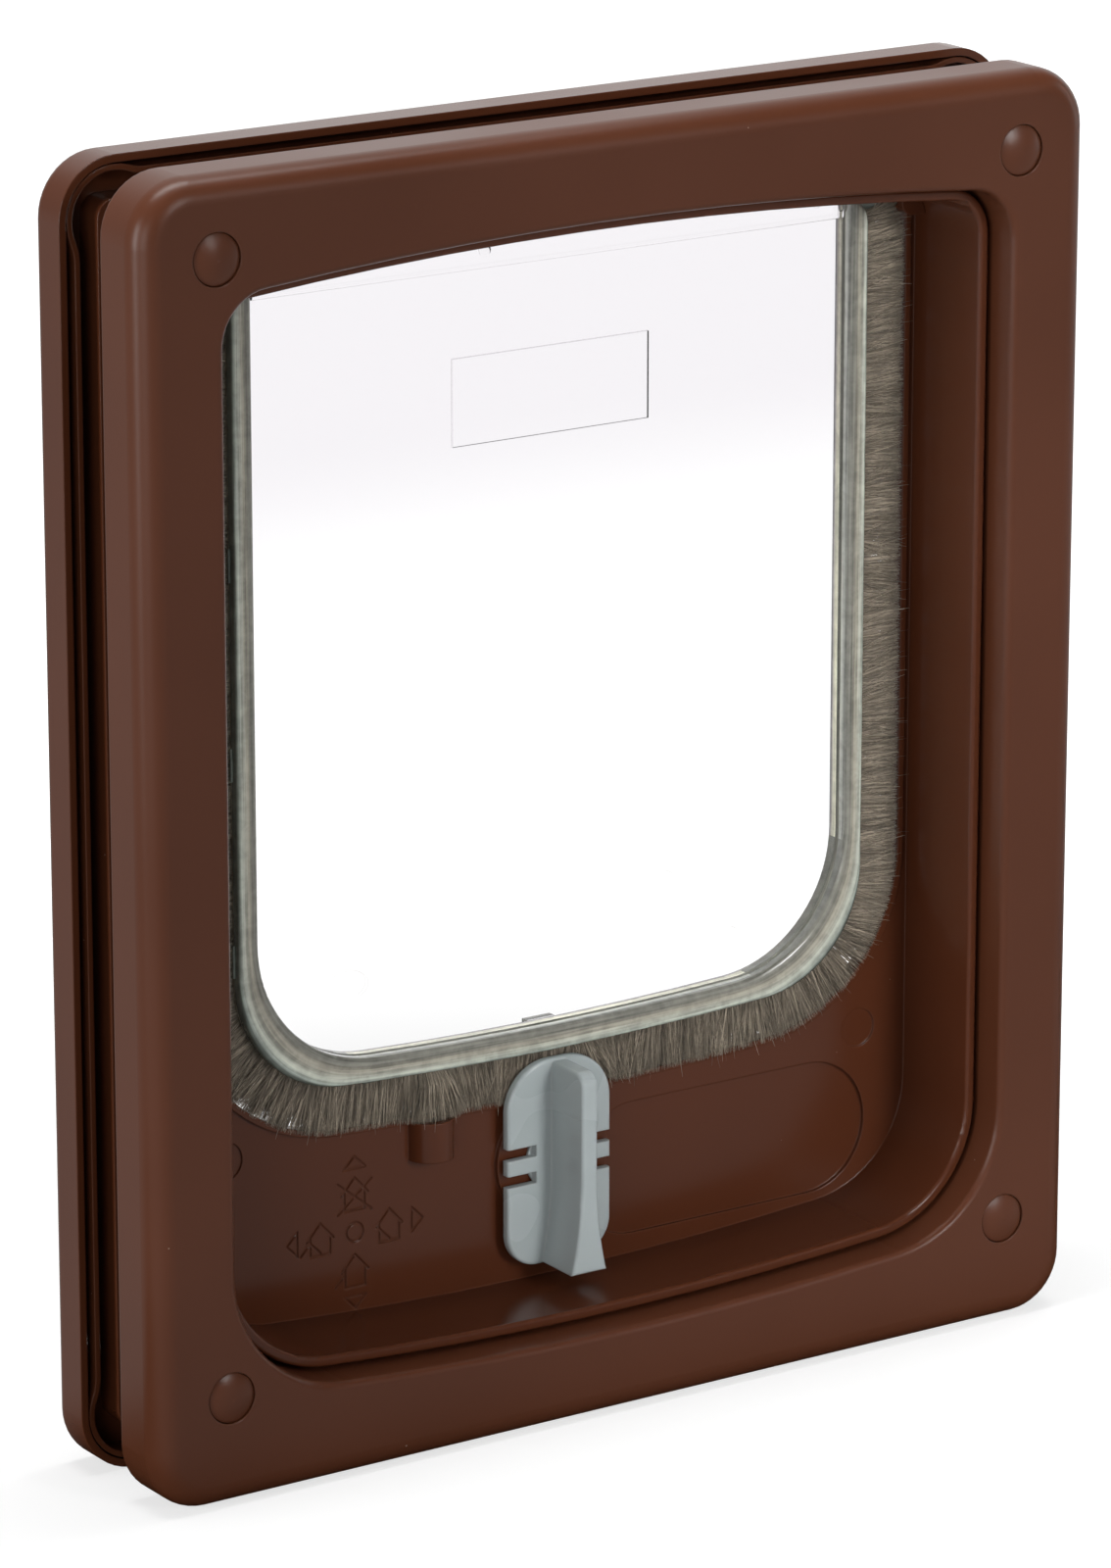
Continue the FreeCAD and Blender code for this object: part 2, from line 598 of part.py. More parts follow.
def rib_form(label, grow):
    """A plate with the rib's outline, grown by a distance: straight runs, and a round
    bulge about each corner that the runs sweep into."""
    body = new_body(label)
    half = f"frame_width / 2 - rib_inset_side + ({grow})"
    low = f"rib_inset_top - ({grow})"
    high = f"frame_height - rib_inset_top + ({grow})"
    depth, length = "rim_front + rib_drop", "rim_depth - rim_floor"
    sketch = at_depth(body, depth, label + "_runs")
    window(sketch, half, low, high, "frame_corner", "frame_corner")
    pad(body, sketch, length)
    sketch = at_depth(body, depth, label + "_corners")
    for side, sign in SIDES:
        for up in ("frame_corner", "frame_height - frame_corner"):
            circle(sketch, f"{sign} * (frame_width / 2 - frame_corner)", up,
                   f"frame_corner - rib_inset_corner + ({grow})")
    bulges = pad(body, sketch, length)
    wide, bottom, top = value(half), value(low), value(high)

    def meets_run(edge):
        box = edge.BoundBox
        off = (abs(abs(box.XMin) - wide), abs(box.ZMin - bottom), abs(box.ZMin - top))
        return box.XLength + box.ZLength < 1e-4 and min(off) < 1e-4

    fillet(body, bulges, f"rib_sweep - ({grow})", meets_run)
    return body


def make_rib():
    """Thin draught rib in the rim's channel; it bulges outward round the screws."""
    rib = doc.addObject("Part::Cut", "draught_rib")
    rib.Base = rib_form("rib_outside", "rib_width / 2")
    rib.Tool = rib_form("rib_inside", "-rib_width / 2")
    return rib


def make_outer_body():
    """Outer frame, its tunnel and the panel that carries the doorway, without the rib."""
    body = new_body("outer_moulding")
    sketch = at_depth(body, "rim_front", "outer_outline")
    frame_outline(sketch, "0")
    block = pad(body, sketch, "rim_depth")
    fillet(body, block, "rear_round", flat_at("Y", value("rear")))
    ring_pocket(body, "rim_channel", "rim_edge", "seat_inset")
    sketch = at_depth(body, "rim_front", "seat_hollow")
    frame_outline(sketch, "seat_inset + seat_width")
    opening_outline(sketch, "tunnel_groove")
    pocket(body, sketch, "rim_depth - rim_floor")
    sketch = at_depth(body, "tunnel_front", "tunnel_outline")
    opening_outline(sketch, "tunnel_groove")
    pad(body, sketch, "rear - tunnel_front")
    sketch = at_depth(body, "tunnel_front", "tunnel_hollow")
    opening_outline(sketch, "tunnel_inset")
    hollow = pocket(body, sketch, "panel_front - tunnel_front")
    fillet(body, hollow, "tunnel_round", flat_at("Y", value("tunnel_front")))
    sketch = at_depth(body, "panel_rear", "rear_hollow")
    opening_outline(sketch, "tunnel_inset")
    pocket(body, sketch, "rear - panel_rear")
    sketch = at_depth(body, "panel_front - bead_rise", "bead_outline")
    doorway_outline(sketch, "bead_width")
    pad(body, sketch, "bead_rise + panel_wall / 2")
    sketch = at_depth(body, "tunnel_front", "doorway")
    doorway_outline(sketch, "0")
    pocket(body, sketch, "rear - tunnel_front")
    add_panel_details(body)
    anchors = circles_at_corners(body, "rim_front", "anchor", "anchor_half")
    pad(body, anchors, "rim_depth - rim_floor / 2")
    pocket(body, circles_at_corners(body, "rim_front", "anchor_hole", "shank_half + screw_gap"),
           "rim_depth - rim_floor / 2")
    return body


def add_panel_details(body):
    """Round marks, bare plaque recess, lock boss with its dimples, and the magnet boss."""
    sketch = at_depth(body, "panel_front", "round_marks")
    for side, sign in SIDES:
        circle(sketch, f"{sign} * mark_place", "mark_up", "mark_half")
    pocket(body, sketch, "mark_depth")
    sketch = at_depth(body, "panel_front", "plaque")
    plaque_outline(sketch)
    pocket(body, sketch, "plaque_depth")
    sketch = at_depth(body, "lock_boss_front", "lock_boss")
    circle(sketch, "0", "hub_up", "lock_boss_half")
    pad(body, sketch, "lock_boss_rise + panel_wall / 2")
    sketch = at_depth(body, "lock_boss_front", "dimples")
    for across, up in ((1, 0), (0, 1), (-1, 0), (0, -1)):
        circle(sketch, f"{across} * dimple_place", f"hub_up + ({up}) * dimple_place", "dimple_half")
    pocket(body, sketch, "dimple_depth")
    sketch = at_depth(body, "lock_boss_front", "spindle_hole")
    circle(sketch, "0", "hub_up", "spindle_half + running_gap")
    pocket(body, sketch, "rear - lock_boss_front")
    sketch = sketch_on(body, XY, "magnet_boss_low", "magnet_boss")
    half_round(sketch, "magnet_place", "panel_front", "magnet_boss_half")
    pad(body, sketch, "magnet_boss_high - magnet_boss_low", away=False)
    sketch = sketch_on(body, XY, "magnet_boss_high", "magnet_hole")
    circle(sketch, "magnet_place", "flap_mid", "magnet_half + seat_gap")
    pocket(body, sketch, "magnet_tall + magnet_sunk")


def half_round(sketch, across, depth, radius):
    """A half disc that bulges towards -Y from a line just inside the panel."""
    centre = FreeCAD.Vector(value(across), value(depth), 0)
    turn = value(radius)
    ring = Part.Circle(centre, FreeCAD.Vector(0, 0, 1), turn)
    arc = sketch.addGeometry(Part.ArcOfCircle(ring, math.pi, 2 * math.pi), False)
    left, right = centre.x - turn, centre.x + turn
    back = centre.y + value("panel_wall / 2")
    corners = ((right, centre.y), (right, back), (left, back), (left, centre.y))
    points = [FreeCAD.Vector(across_at, depth_at, 0) for across_at, depth_at in corners]
    lines = []
    for start, stop in zip(points, points[1:]):
        lines.append(sketch.addGeometry(Part.LineSegment(start, stop), False))
    chain = [arc] + lines
    for place, line in enumerate(chain):
        sketch.addConstraint(Sketcher.Constraint("Coincident", line, 2, chain[(place + 1) % 4], 1))
    for kind, text, number, place in (
            ("DistanceX", across, centre.x, 3), ("DistanceY", depth, centre.y, 3),
            ("DistanceY", depth, centre.y, 1), ("DistanceY", depth, centre.y, 2)):
        held = sketch.addConstraint(Sketcher.Constraint(kind, -1, 1, arc, place, number))
        bind(sketch, f"Constraints[{held}]", text)
    held = sketch.addConstraint(Sketcher.Constraint("Radius", arc, turn))
    bind(sketch, f"Constraints[{held}]", radius)
    sketch.addConstraint(Sketcher.Constraint("Vertical", lines[0]))
    sketch.addConstraint(Sketcher.Constraint("Vertical", lines[2]))
    held = sketch.addConstraint(Sketcher.Constraint("DistanceY", -1, 1, lines[1], 1, back))
    bind(sketch, f"Constraints[{held}]", f"{depth} + panel_wall / 2")
    held = sketch.addConstraint(Sketcher.Constraint("DistanceY", -1, 1, lines[1], 2, back))
    bind(sketch, f"Constraints[{held}]", f"{depth} + panel_wall / 2")


def plaque_outline(sketch):
    """A bar with round ends."""
    low, high = value("plaque_up - plaque_half"), value("plaque_up + plaque_half")
    left, right = value("plaque_left"), value("plaque_right")
    upward = FreeCAD.Vector(0, 0, 1)
    turn = value("plaque_half")
    vector = FreeCAD.Vector
    middle = value("plaque_up")
    quarter = math.pi / 2
    right_ring = Part.Circle(vector(right, middle, 0), upward, turn)
    left_ring = Part.Circle(vector(left, middle, 0), upward, turn)
    sketch.addGeometry(Part.LineSegment(vector(left, low, 0), vector(right, low, 0)), False)
    sketch.addGeometry(Part.ArcOfCircle(right_ring, -quarter, quarter), False)
    sketch.addGeometry(Part.LineSegment(vector(right, high, 0), vector(left, high, 0)), False)
    sketch.addGeometry(Part.ArcOfCircle(left_ring, quarter, 3 * quarter), False)
    for place in range(4):
        sketch.addConstraint(Sketcher.Constraint("Tangent", place, 2, (place + 1) % 4, 1))
    for arc, text in ((1, "plaque_right"), (3, "plaque_left")):
        held = sketch.addConstraint(Sketcher.Constraint("DistanceX", -1, 1, arc, 3, value(text)))
        bind(sketch, f"Constraints[{held}]", text)
        held = sketch.addConstraint(Sketcher.Constraint("DistanceY", -1, 1, arc, 3, middle))
        bind(sketch, f"Constraints[{held}]", "plaque_up")
    held = sketch.addConstraint(Sketcher.Constraint("Radius", 1, turn))
    bind(sketch, f"Constraints[{held}]", "plaque_half")


def stroke(start, stop):
    """One engraved line with round ends, from two points of the panel."""
    half = value("icon_line / 2")
    depth = value("icon_depth")
    run = stop - start
    side = FreeCAD.Vector(-run.z, 0, run.x).normalize() * half
    corners = (start + side, stop + side, stop - side, start - side, start + side)
    inward = FreeCAD.Vector(0, depth, 0)
    bar = Part.Face(Part.makePolygon(corners)).extrude(inward)
    ends = [Part.makeCylinder(half, depth, place, FreeCAD.Vector(0, 1, 0)) for place in (start, stop)]
    return bar.fuse(ends)


def icon_lines():
    """Pairs of points, across and up from the icons' middle: houses and arrowheads."""
    wide, roof, high = value("house_half"), value("house_roof"), value("house_size / 2")
    eaves = high - value("house_eaves")
    wall = high - value("house_eaves") * wide / roof
    house = [((-roof, eaves), (0, high)), ((0, high), (roof, eaves)),
             ((-wide, -high), (wide, -high)), ((-wide, -high), (-wide, wall)),
             ((wide, -high), (wide, wall))]
    hinge = value("door_up") - high
    swing, place = value("door_swing"), value("house_place")
    arrow, head = value("arrow_place"), value("arrow_size / 2")
    lines = []
    for turn_x, turn_y, doors in ((1, 0, (1,)), (-1, 0, (1, -1)), (0, 1, ()), (0, -1, (-1,))):
        icon = house + [((-wide, hinge), (way * swing - wide, hinge - swing)) for way in doors]
        for stroke_ends in icon:
            lines.append([(x + turn_x * place, z + turn_y * place) for x, z in stroke_ends])
        tip = (turn_x * (arrow + head), turn_y * (arrow + head))
        feet = [(turn_x * arrow - turn_y * sign * head, turn_y * arrow + turn_x * sign * head)
                for sign in (1, -1)]
        lines += [(tip, feet[0]), (tip, feet[1]), feet]
    half, tall, middle = value("cross_half"), value("cross_tall"), place - value("cross_drop")
    for sign in (1, -1):
        lines.append(((-sign * half, middle - tall), (sign * half, middle + tall)))
    return lines


def make_icons():
    """The engraved four-way mark: one solid cutter, set just under the panel's front."""
    middle = FreeCAD.Vector(value("icons_across"), value("panel_front"), value("icons_up"))
    outward = FreeCAD.Vector(0, 1, 0)
    depth, half = value("icon_depth"), value("icon_line / 2")
    ring = Part.makeCylinder(value("icon_ring") + half, depth, middle, outward)
    cutter = ring.cut(Part.makeCylinder(value("icon_ring") - half, depth, middle, outward))
    strokes = []
    for start, stop in icon_lines():
        ends = [middle + FreeCAD.Vector(across, 0, up) for across, up in (start, stop)]
        strokes.append(stroke(*ends))
    icons = doc.addObject("Part::Feature", "icon_lines")
    icons.Shape = cutter.multiFuse(strokes)
    return icons


def make_outer_frame():
    moulding = doc.addObject("Part::Fuse", "ribbed_moulding")
    moulding.Base = make_outer_body()
    moulding.Tool = make_rib()
    frame = doc.addObject("Part::Cut", "outer_frame")
    frame.Base = moulding
    frame.Tool = make_icons()
    doc.recompute()
    keep(frame, "outer_frame")


def turned(label, points, across, up, edge_round=None, crown=False):
    """A piece turned about a line along Y. points are (radius, depth) pairs that start and
    end on the axis. Its front is a dome with a crown, or flat with a rounded edge."""
    body = new_body(label)
    sketch = sketch_on(body, XY, "0", label + "_profile")
    polygon(sketch, points, crown)
    spin = body.newObject("PartDesign::Revolution", label + "_turn")
    spin.Profile = sketch
    spin.ReferenceAxis = (sketch, ["V_Axis"])
    spin.Angle = 360
    doc.recompute()
    if edge_round:
        front = value(points[0][1])
        rim = both(flat_at("Y", front), lambda edge: edge.Length > 1)
        fillet(body, spin, edge_round, rim)
    bind(body, "Placement.Base.x", across)
    bind(body, "Placement.Base.z", up)
    keep(body, label)


def make_caps_and_screws():
    """Each corner has a screw through both frames and a domed cap over its head."""
    head, neck = "face + head_start", "face + head_start + head_tall"
    rim = "cap_recess_half - cap_gap"
    for corner, across, up in corner_places():
        front, floor = "face - cap_proud", "face + cap_recess_depth"
        stem = "face + cap_recess_depth + cap_stem"
        turned(f"screw_cap_{corner}",
               (("0", front), (rim, "face + cap_edge"), (rim, floor), ("head_half", floor),
                ("head_half", stem), ("0", stem)), across, up, crown=True)
        turned(f"frame_screw_{corner}",
               (("0", head), ("head_half", head), ("head_half", neck), ("shank_half", neck),
                ("shank_half", neck + " + screw_length"), ("0", neck + " + screw_length")),
               across, up, edge_round="head_tall / 2")


def make_flap_panel():
    """Clear moulding: pane, rear half of the rim, thick upper bar and stub axles."""
    body = new_body("flap_panel")
    sketch = at_depth(body, "pane_rear", "rear_rim")
    flap_outline(sketch, "0", "rim_top")
    pad(body, sketch, "flap_rear - pane_rear")
    rim_hole(body, "rear_rim_hole", "pane_rear", "flap_rear - pane_rear")
    sketch = at_depth(body, "pane_front", "pane")
    flap_outline(sketch, "slot_deep", "axis_up", "slot_deep")
    pad(body, sketch, "pane_thick")
    make_header(body)
    sketch = sketch_on(body, YZ, "0", "stub_axles")
    circle(sketch, "flap_mid", "axis_up", "stub_half")
    pad(body, sketch, "2 * stub_reach", middle=True)
    sketch = at_depth(body, "pane_rear - label_depth", "label_field")
    rectangle(sketch, "-label_half", "label_half", "label_low", "label_high")
    pocket(body, sketch, "label_depth")
    sketch = at_depth(body, "flap_rear - stake_length - seat_gap", "stake_holes")
    stake_circles(sketch, "stake_half + seat_gap")
    pocket(body, sketch, "stake_length + seat_gap")
    sketch = at_depth(body, "pane_rear", "magnet_holder")
    rectangle(sketch, "magnet_place - keeper_half - holder_margin",
              "magnet_place + keeper_half + holder_margin",
              "keeper_low - holder_margin", "rim_inner_bottom")
    pad(body, sketch, "flap_rear - pane_rear")
    keep(body, "flap_panel")


def make_header(body):
    """The bar along the flap's top, with three round marks and a pointed one."""
    front = "flap_mid - header_thick / 2"
    sketch = at_depth(body, front, "header")
    rectangle(sketch, "-header_half", "header_half", "axis_up - header_low", "axis_up + header_high")
    bar = pad(body, sketch, "header_thick")
    low, high = value("axis_up - header_low"), value("axis_up + header_high")
    fronts = both(flat_at("Y", value(front)), lambda edge: edge.Length > value("header_half"))
    lower, upper = flat_at("Z", low), flat_at("Z", high)
    fillet(body, bar, "header_round", both(fronts, lambda edge: lower(edge) or upper(edge)))
    up = "axis_up + header_mark_rise"
    sketch = at_depth(body, front, "header_marks")
    circle(sketch, "header_mark_first - header_half", up, "header_mark_half")
    circle(sketch, "header_mark_second", up, "header_mark_half")
    circle(sketch, "header_half - header_mark_third", up, "header_mark_small")
    base, point = f"{up} + header_mark_half / 2", "header_mark_point - header_half"
    polygon(sketch, ((point, "axis_up"), (f"{point} + 2 * header_mark_half", base),
                     (f"{point} - 2 * header_mark_half", base)))
    pocket(body, sketch, "header_mark_depth")


def stake_circles(sketch, radius):
    for side, sign in SIDES:
        circle(sketch, f"{sign} * stake_place", "(striker_arm_low + striker_arm_high) / 2", radius)


def make_striker():
    """A clear hook staked behind the flap's rim; its lip hangs between the cam plates."""
    body = new_body("flap_striker")
    root = "flap_rear"
    sketch = sketch_on(body, YZ, "0", "striker")
    polygon(sketch, ((root, "striker_arm_low"), ("lip_front", "striker_arm_low"),
                     ("lip_front", "striker_low"), ("lip_rear", "striker_low"),
                     ("lip_rear", "striker_arm_high"), (root, "striker_arm_high")))
    pad(body, sketch, "2 * striker_half", middle=True)
    sketch = at_depth(body, "flap_rear - stake_length", "stakes")
    stake_circles(sketch, "stake_half")
    pad(body, sketch, "stake_length + striker_lip")
    keep(body, "flap_striker")


def make_pile_retainer():
    """Clear front half of the rim, with the small tabs that clip it on."""
    body = new_body("pile_retainer")
    sketch = at_depth(body, "flap_front", "front_rim")
    flap_outline(sketch, "0", "rim_top")
    pad(body, sketch, "pane_front - flap_front")
    hole = rim_hole(body, "front_rim_hole", "flap_front", "pane_front - flap_front")
    fillet(body, hole, "pane_thick / 2", flat_at("Y", value("flap_front")))
    sketch = sketch_on(body, YZ, "0", "axle_channel")
    circle(sketch, "flap_mid", "axis_up", "stub_half + seat_gap")
    pocket(body, sketch, "2 * stub_reach", middle=True)
    reach = "tab_length / 2"
    deep = "pane_front - flap_front - pane_thick"
    sketch = at_depth(body, "flap_front + pane_thick", "side_tabs")
    for side, sign in SIDES:
        for place in range(3):
            up = f"flap_bottom + tab_first + {place} * tab_side_pitch"
            edges = [f"{sign} * (flap_half - tab_rise)", f"{sign} * (flap_half + tab_rise)"]
            edges.sort(key=value)
            rectangle(sketch, edges[0], edges[1], f"{up} - {reach}", f"{up} + {reach}")
    pad(body, sketch, deep)
    sketch = at_depth(body, "flap_front + pane_thick", "lower_tabs")
    for place in (-1, 0, 1):
        rise = f"flap_bottom + {abs(place)} * (opening_bow - sqrt(opening_bow ^ 2 - tab_pitch ^ 2))"
        rectangle(sketch, f"{place} * tab_pitch - {reach}", f"{place} * tab_pitch + {reach}",
                  f"{rise} - tab_rise", f"{rise} + slot_deep")
    pad(body, sketch, deep)
    keep(body, "pile_retainer")


def pile_trim(body, name, side_strip):
    """Cuts away the part of the pile that the other strip fills."""
    centre_x, centre_z = "pile_half - pile_corner", "pile_bottom + pile_corner"
    reach, far = "frame_width", "frame_height"
    angle = "pile_joint_angle * 1 deg"
    gap = "pile_joint_gap / 2" if side_strip else "-pile_joint_gap / 2"
    joint = (f"{centre_x} + {reach} * cos({angle})", f"{centre_z} - {reach} * sin({angle}) + {gap}")
    centre = (centre_x, f"{centre_z} + {gap}")
    if side_strip:
        points = (centre, (centre_x, far), (f"-{reach}", far), (f"-{reach}", f"-{far}"),
                  (joint[0], f"-{far}"), joint)
    else:
        points = (centre, joint, (joint[0], far), (centre_x, far))
    sketch = at_depth(body, "pane_front", name)
    polygon(sketch, points)
    pocket(body, sketch, "pane_thick")


def make_pile_strip(label, side_strip):
    """Brush pile: a backing in the rim's slot with the pile outside it, as one soft solid."""
    body = new_body(label)
    sketch = at_depth(body, "pane_front + pile_gap", label + "_outline")
    window(sketch, "pile_half", "pile_bottom", "pile_top", "pile_corner", "pile_top_corner",
           "opening_bow")
    pad(body, sketch, "pane_thick - 2 * pile_gap")
    sketch = at_depth(body, "pane_front", label + "_inside")
    flap_outline(sketch, "slot_deep - pile_gap", "above")
    pocket(body, sketch, "pane_thick")
    pile_trim(body, label + "_trim", side_strip)
    if not side_strip:
        sketch = at_depth(body, "pane_front", label + "_notches")
        rectangle(sketch, "-pile_notch_half", "pile_notch_half", "keeper_low - slot_deep", "flap_bottom")
        rectangle(sketch, "magnet_place - keeper_half - pile_joint_gap",
                  "magnet_place + keeper_half + pile_joint_gap", "keeper_low - slot_deep",
                  "flap_bottom + pile_joint_gap")
        pocket(body, sketch, "pane_thick")
    keep(body, label)


def make_bearing(side, sign):
    """Bearing of a stub axle: a block with a round lower end that fills the tunnel's upper
    corner. Its front part sits on the bead, its rear part stands inside the doorway."""
    body = new_body(f"bearing_block_{side}")
    inner = f"{sign} * (doorway_half - seat_gap - bearing_width)"
    edge = f"{sign} * (doorway_half - seat_gap)"
    wall = f"{sign} * opening_half"
    sketch = at_depth(body, "face + bearing_start", f"bearing_outline_{side}")
    rectangle(sketch, *sorted((inner, wall), key=value), "bearing_low", "above")
    block = pad(body, sketch, "bearing_depth")
    lower = both(flat_at("Z", value("bearing_low")), flat_at("X", value(inner)))
    block = fillet(body, block, "bearing_round", lower)
    sketch = at_depth(body, "panel_front - bead_rise - seat_gap", f"bearing_step_{side}")
    rectangle(sketch, *sorted((edge, wall), key=value), "bearing_low", "above")
    pocket(body, sketch, "bearing_depth")
    sketch = sketch_on(body, YZ, "0", f"bearing_bore_{side}")
    circle(sketch, "flap_mid", "axis_up", "stub_half + running_gap")
    pocket(body, sketch, "2 * (stub_reach + pile_joint_gap)", middle=True)
    form = new_body(f"corner_form_{side}")
    sketch = at_depth(form, "tunnel_front", f"corner_form_outline_{side}")
    opening_outline(sketch, "tunnel_inset + seat_gap")
    pad(form, sketch, "rear - tunnel_front")
    bearing = doc.addObject("Part::Common", f"hinge_bearing_{side}")
    bearing.Base, bearing.Tool = body, form
    doc.recompute()
    keep(bearing, f"hinge_bearing_{side}")


def fin_outline(sketch):
    """The fin seen from the front: even above the axis, flared at its lower end."""
    vector = FreeCAD.Vector
    half, flare = value("fin_half"), value("fin_flare_half")
    top, start = value("hub_up + fin_top"), value("hub_up - fin_flare_start")
    end = value("hub_up - fin_flare_reach")
    rise, out = start - end, flare - half
    turn = (rise ** 2 + out ** 2) / (2 * out)
    swing = math.asin(rise / turn)
    upward = vector(0, 0, 1)
    right_ring = Part.Circle(vector(half + turn, start, 0), upward, turn)
    left_ring = Part.Circle(vector(-half - turn, start, 0), upward, turn)
    shapes = (
        Part.LineSegment(vector(-flare, end, 0), vector(flare, end, 0)),
        Part.ArcOfCircle(right_ring, math.pi, math.pi + swing),
        Part.LineSegment(vector(half, start, 0), vector(half, top, 0)),
        Part.LineSegment(vector(half, top, 0), vector(-half, top, 0)),
        Part.LineSegment(vector(-half, top, 0), vector(-half, start, 0)),
        Part.ArcOfCircle(left_ring, -swing, 0))
    for shape in shapes:
        sketch.addGeometry(shape, False)
    joints = (("Coincident", 0, 2, 1, 2), ("Tangent", 1, 1, 2, 1), ("Coincident", 2, 2, 3, 1),
              ("Coincident", 3, 2, 4, 1), ("Tangent", 4, 2, 5, 2), ("Coincident", 5, 1, 0, 1))
    for joint in joints:
        sketch.addConstraint(Sketcher.Constraint(*joint))
    low, mid, high = "hub_up - fin_flare_reach", "hub_up - fin_flare_start", "hub_up + fin_top"
    points = ((0, 1, "-fin_flare_half", low), (0, 2, "fin_flare_half", low),
              (2, 1, "fin_half", mid), (2, 2, "fin_half", high),
              (4, 1, "-fin_half", high), (4, 2, "-fin_half", mid))
    for line, end_point, across, up in points:
        for kind, text in (("DistanceX", across), ("DistanceY", up)):
            held = sketch.addConstraint(
                Sketcher.Constraint(kind, -1, 1, line, end_point, value(text)))
            bind(sketch, f"Constraints[{held}]", text)


def make_lock_knob():
    """Grey moulding: plate with two detent tongues, fin, collar, spindle and square end."""
    body = new_body("lock_knob")
    sketch = at_depth(body, "plate_front", "plate")
    window(sketch, "plate_half", "hub_up - plate_reach", "hub_up + plate_reach",
           "plate_bottom_corner", "plate_top_corner")
    plate = pad(body, sketch, "plate_thick")
    fillet(body, plate, "fin_edge", flat_at("Y", value("plate_front")))
    sketch = at_depth(body, "plate_front", "slits")
    for side, sign in SIDES:
        edges = sorted((f"{sign} * slit_end", f"{sign} * (plate_half + slit_wide)"), key=value)
        for level in (1, -1):
            middle = f"hub_up + ({level}) * slit_place"
            rectangle(sketch, *edges, f"{middle} - slit_wide / 2", f"{middle} + slit_wide / 2")
    pocket(body, sketch, "plate_thick")
    sketch = at_depth(body, "plate_front + plate_thick / 2", "fin")
    fin_outline(sketch)
    fin = pad(body, sketch, "plate_front + plate_thick / 2 - fin_front", away=False)
    front, top = value("fin_front"), value("hub_up + fin_top")
    nose = fillet(body, fin, "fin_nose", both(flat_at("Y", front), flat_at("Z", top)))
    narrow = inside_x(value("fin_flare_half") + 1)
    fillet(body, nose, "fin_edge", both(flat_at("Y", front), narrow))
    sketch = at_depth(body, "plate_rear", "bumps")
    for side, sign in SIDES:
        circle(sketch, f"{sign} * dimple_place", "hub_up", "bump_half")
    pad(body, sketch, "bump_rise")
    stages = (("collar", "collar_half", "lock_boss_front - collar_gap"),
              ("spindle", "spindle_half", "cam_front - collar_gap"))
    for name, radius, end in stages:
        sketch = at_depth(body, "plate_rear", name)
        circle(sketch, "0", "hub_up", radius)
        pad(body, sketch, f"{end} - plate_rear")
    sketch = at_depth(body, "plate_rear", "square_end")
    rectangle(sketch, "-square_half", "square_half", "hub_up - square_half", "hub_up + square_half")
    pad(body, sketch, "cam_rear - seat_gap - plate_rear")
    sketch = at_depth(body, "cam_rear - cam_screw_length", "screw_hole")
    circle(sketch, "0", "hub_up", "cam_screw_half + screw_gap")
    pocket(body, sketch, "cam_screw_length")
    keep(body, "lock_knob")


def finger(sketch, across, up):
    """A finger from the cam's hub, to the left, right or downward."""
    side, reach = "finger_half", "finger_reach"
    if up:
        rectangle(sketch, f"-{side}", side, f"hub_up - {reach}", "hub_up")
        return
    ends = sorted(("0", f"{across} * {reach}"), key=value)
    rectangle(sketch, *ends, f"hub_up - {side}", f"hub_up + {side}")


def make_cam_plate(label, across, hub, tier):
    """A plate on the spindle's square end: a hub and two fingers. hub and tier each give the
    front and rear of that part. The front plate stops the flap coming in, the rear plate
    stops it going out."""
    body = new_body(label)
    sketch = at_depth(body, hub[0], label + "_hub")
    circle(sketch, "0", "hub_up", "cam_hub_half")
    pad(body, sketch, f"{hub[1]} - ({hub[0]})")
    for kind, up in (("level", False), ("down", True)):
        sketch = at_depth(body, tier, f"{label}_{kind}")
        finger(sketch, across, up)
        pad(body, sketch, "cam_tier")
    sketch = at_depth(body, "cam_front", label + "_square")
    fit = "square_half + seat_gap"
    rectangle(sketch, f"-({fit})", fit, f"hub_up - ({fit})", f"hub_up + {fit}")
    pocket(body, sketch, "cam_length")
    keep(body, label)


def make_cam_screw():
    end = "cam_rear - cam_screw_length + screw_gap"
    head = "cam_rear + cam_head_tall"
    turned("cam_screw",
           (("0", end), ("cam_screw_half", end), ("cam_screw_half", "cam_rear"),
            ("cam_head_half", "cam_rear"), ("cam_head_half", head), ("0", head)),
           "0", "hub_up")


def make_magnets():
    """A round magnet in the panel's boss, and a flat one under the flap's rim."""
    magnet = doc.addObject("Part::Cylinder", "panel_magnet")
    bind(magnet, "Radius", "magnet_half")
    bind(magnet, "Height", "magnet_tall")
    bind(magnet, "Placement.Base.x", "magnet_place")
    bind(magnet, "Placement.Base.y", "flap_mid")
    bind(magnet, "Placement.Base.z", "magnet_boss_high - magnet_sunk - magnet_tall")
    keep(magnet, "panel_magnet")
    keeper = doc.addObject("Part::Box", "flap_magnet")
    bind(keeper, "Length", "2 * keeper_half")
    bind(keeper, "Width", "keeper_thick")
    bind(keeper, "Height", "keeper_high - keeper_low")
    bind(keeper, "Placement.Base.x", "magnet_place - keeper_half")
    bind(keeper, "Placement.Base.y", "pane_rear - keeper_thick")
    bind(keeper, "Placement.Base.z", "keeper_low")
    keep(keeper, "flap_magnet")


make_inner_frame()
make_outer_frame()
make_caps_and_screws()
make_flap_panel()
make_striker()
make_pile_retainer()
make_pile_strip("pile_strip_main", False)
make_pile_strip("pile_strip_side", True)
for side, sign in SIDES:
    make_bearing(side, sign)
make_lock_knob()
make_cam_plate("lock_cam_front", -1, ("cam_front", "cam_split"), "cam_front")
make_cam_plate("lock_cam_rear", 1, ("cam_split", "cam_rear"), "cam_rear - cam_tier")
make_cam_screw()
make_magnets()
doc.recompute()

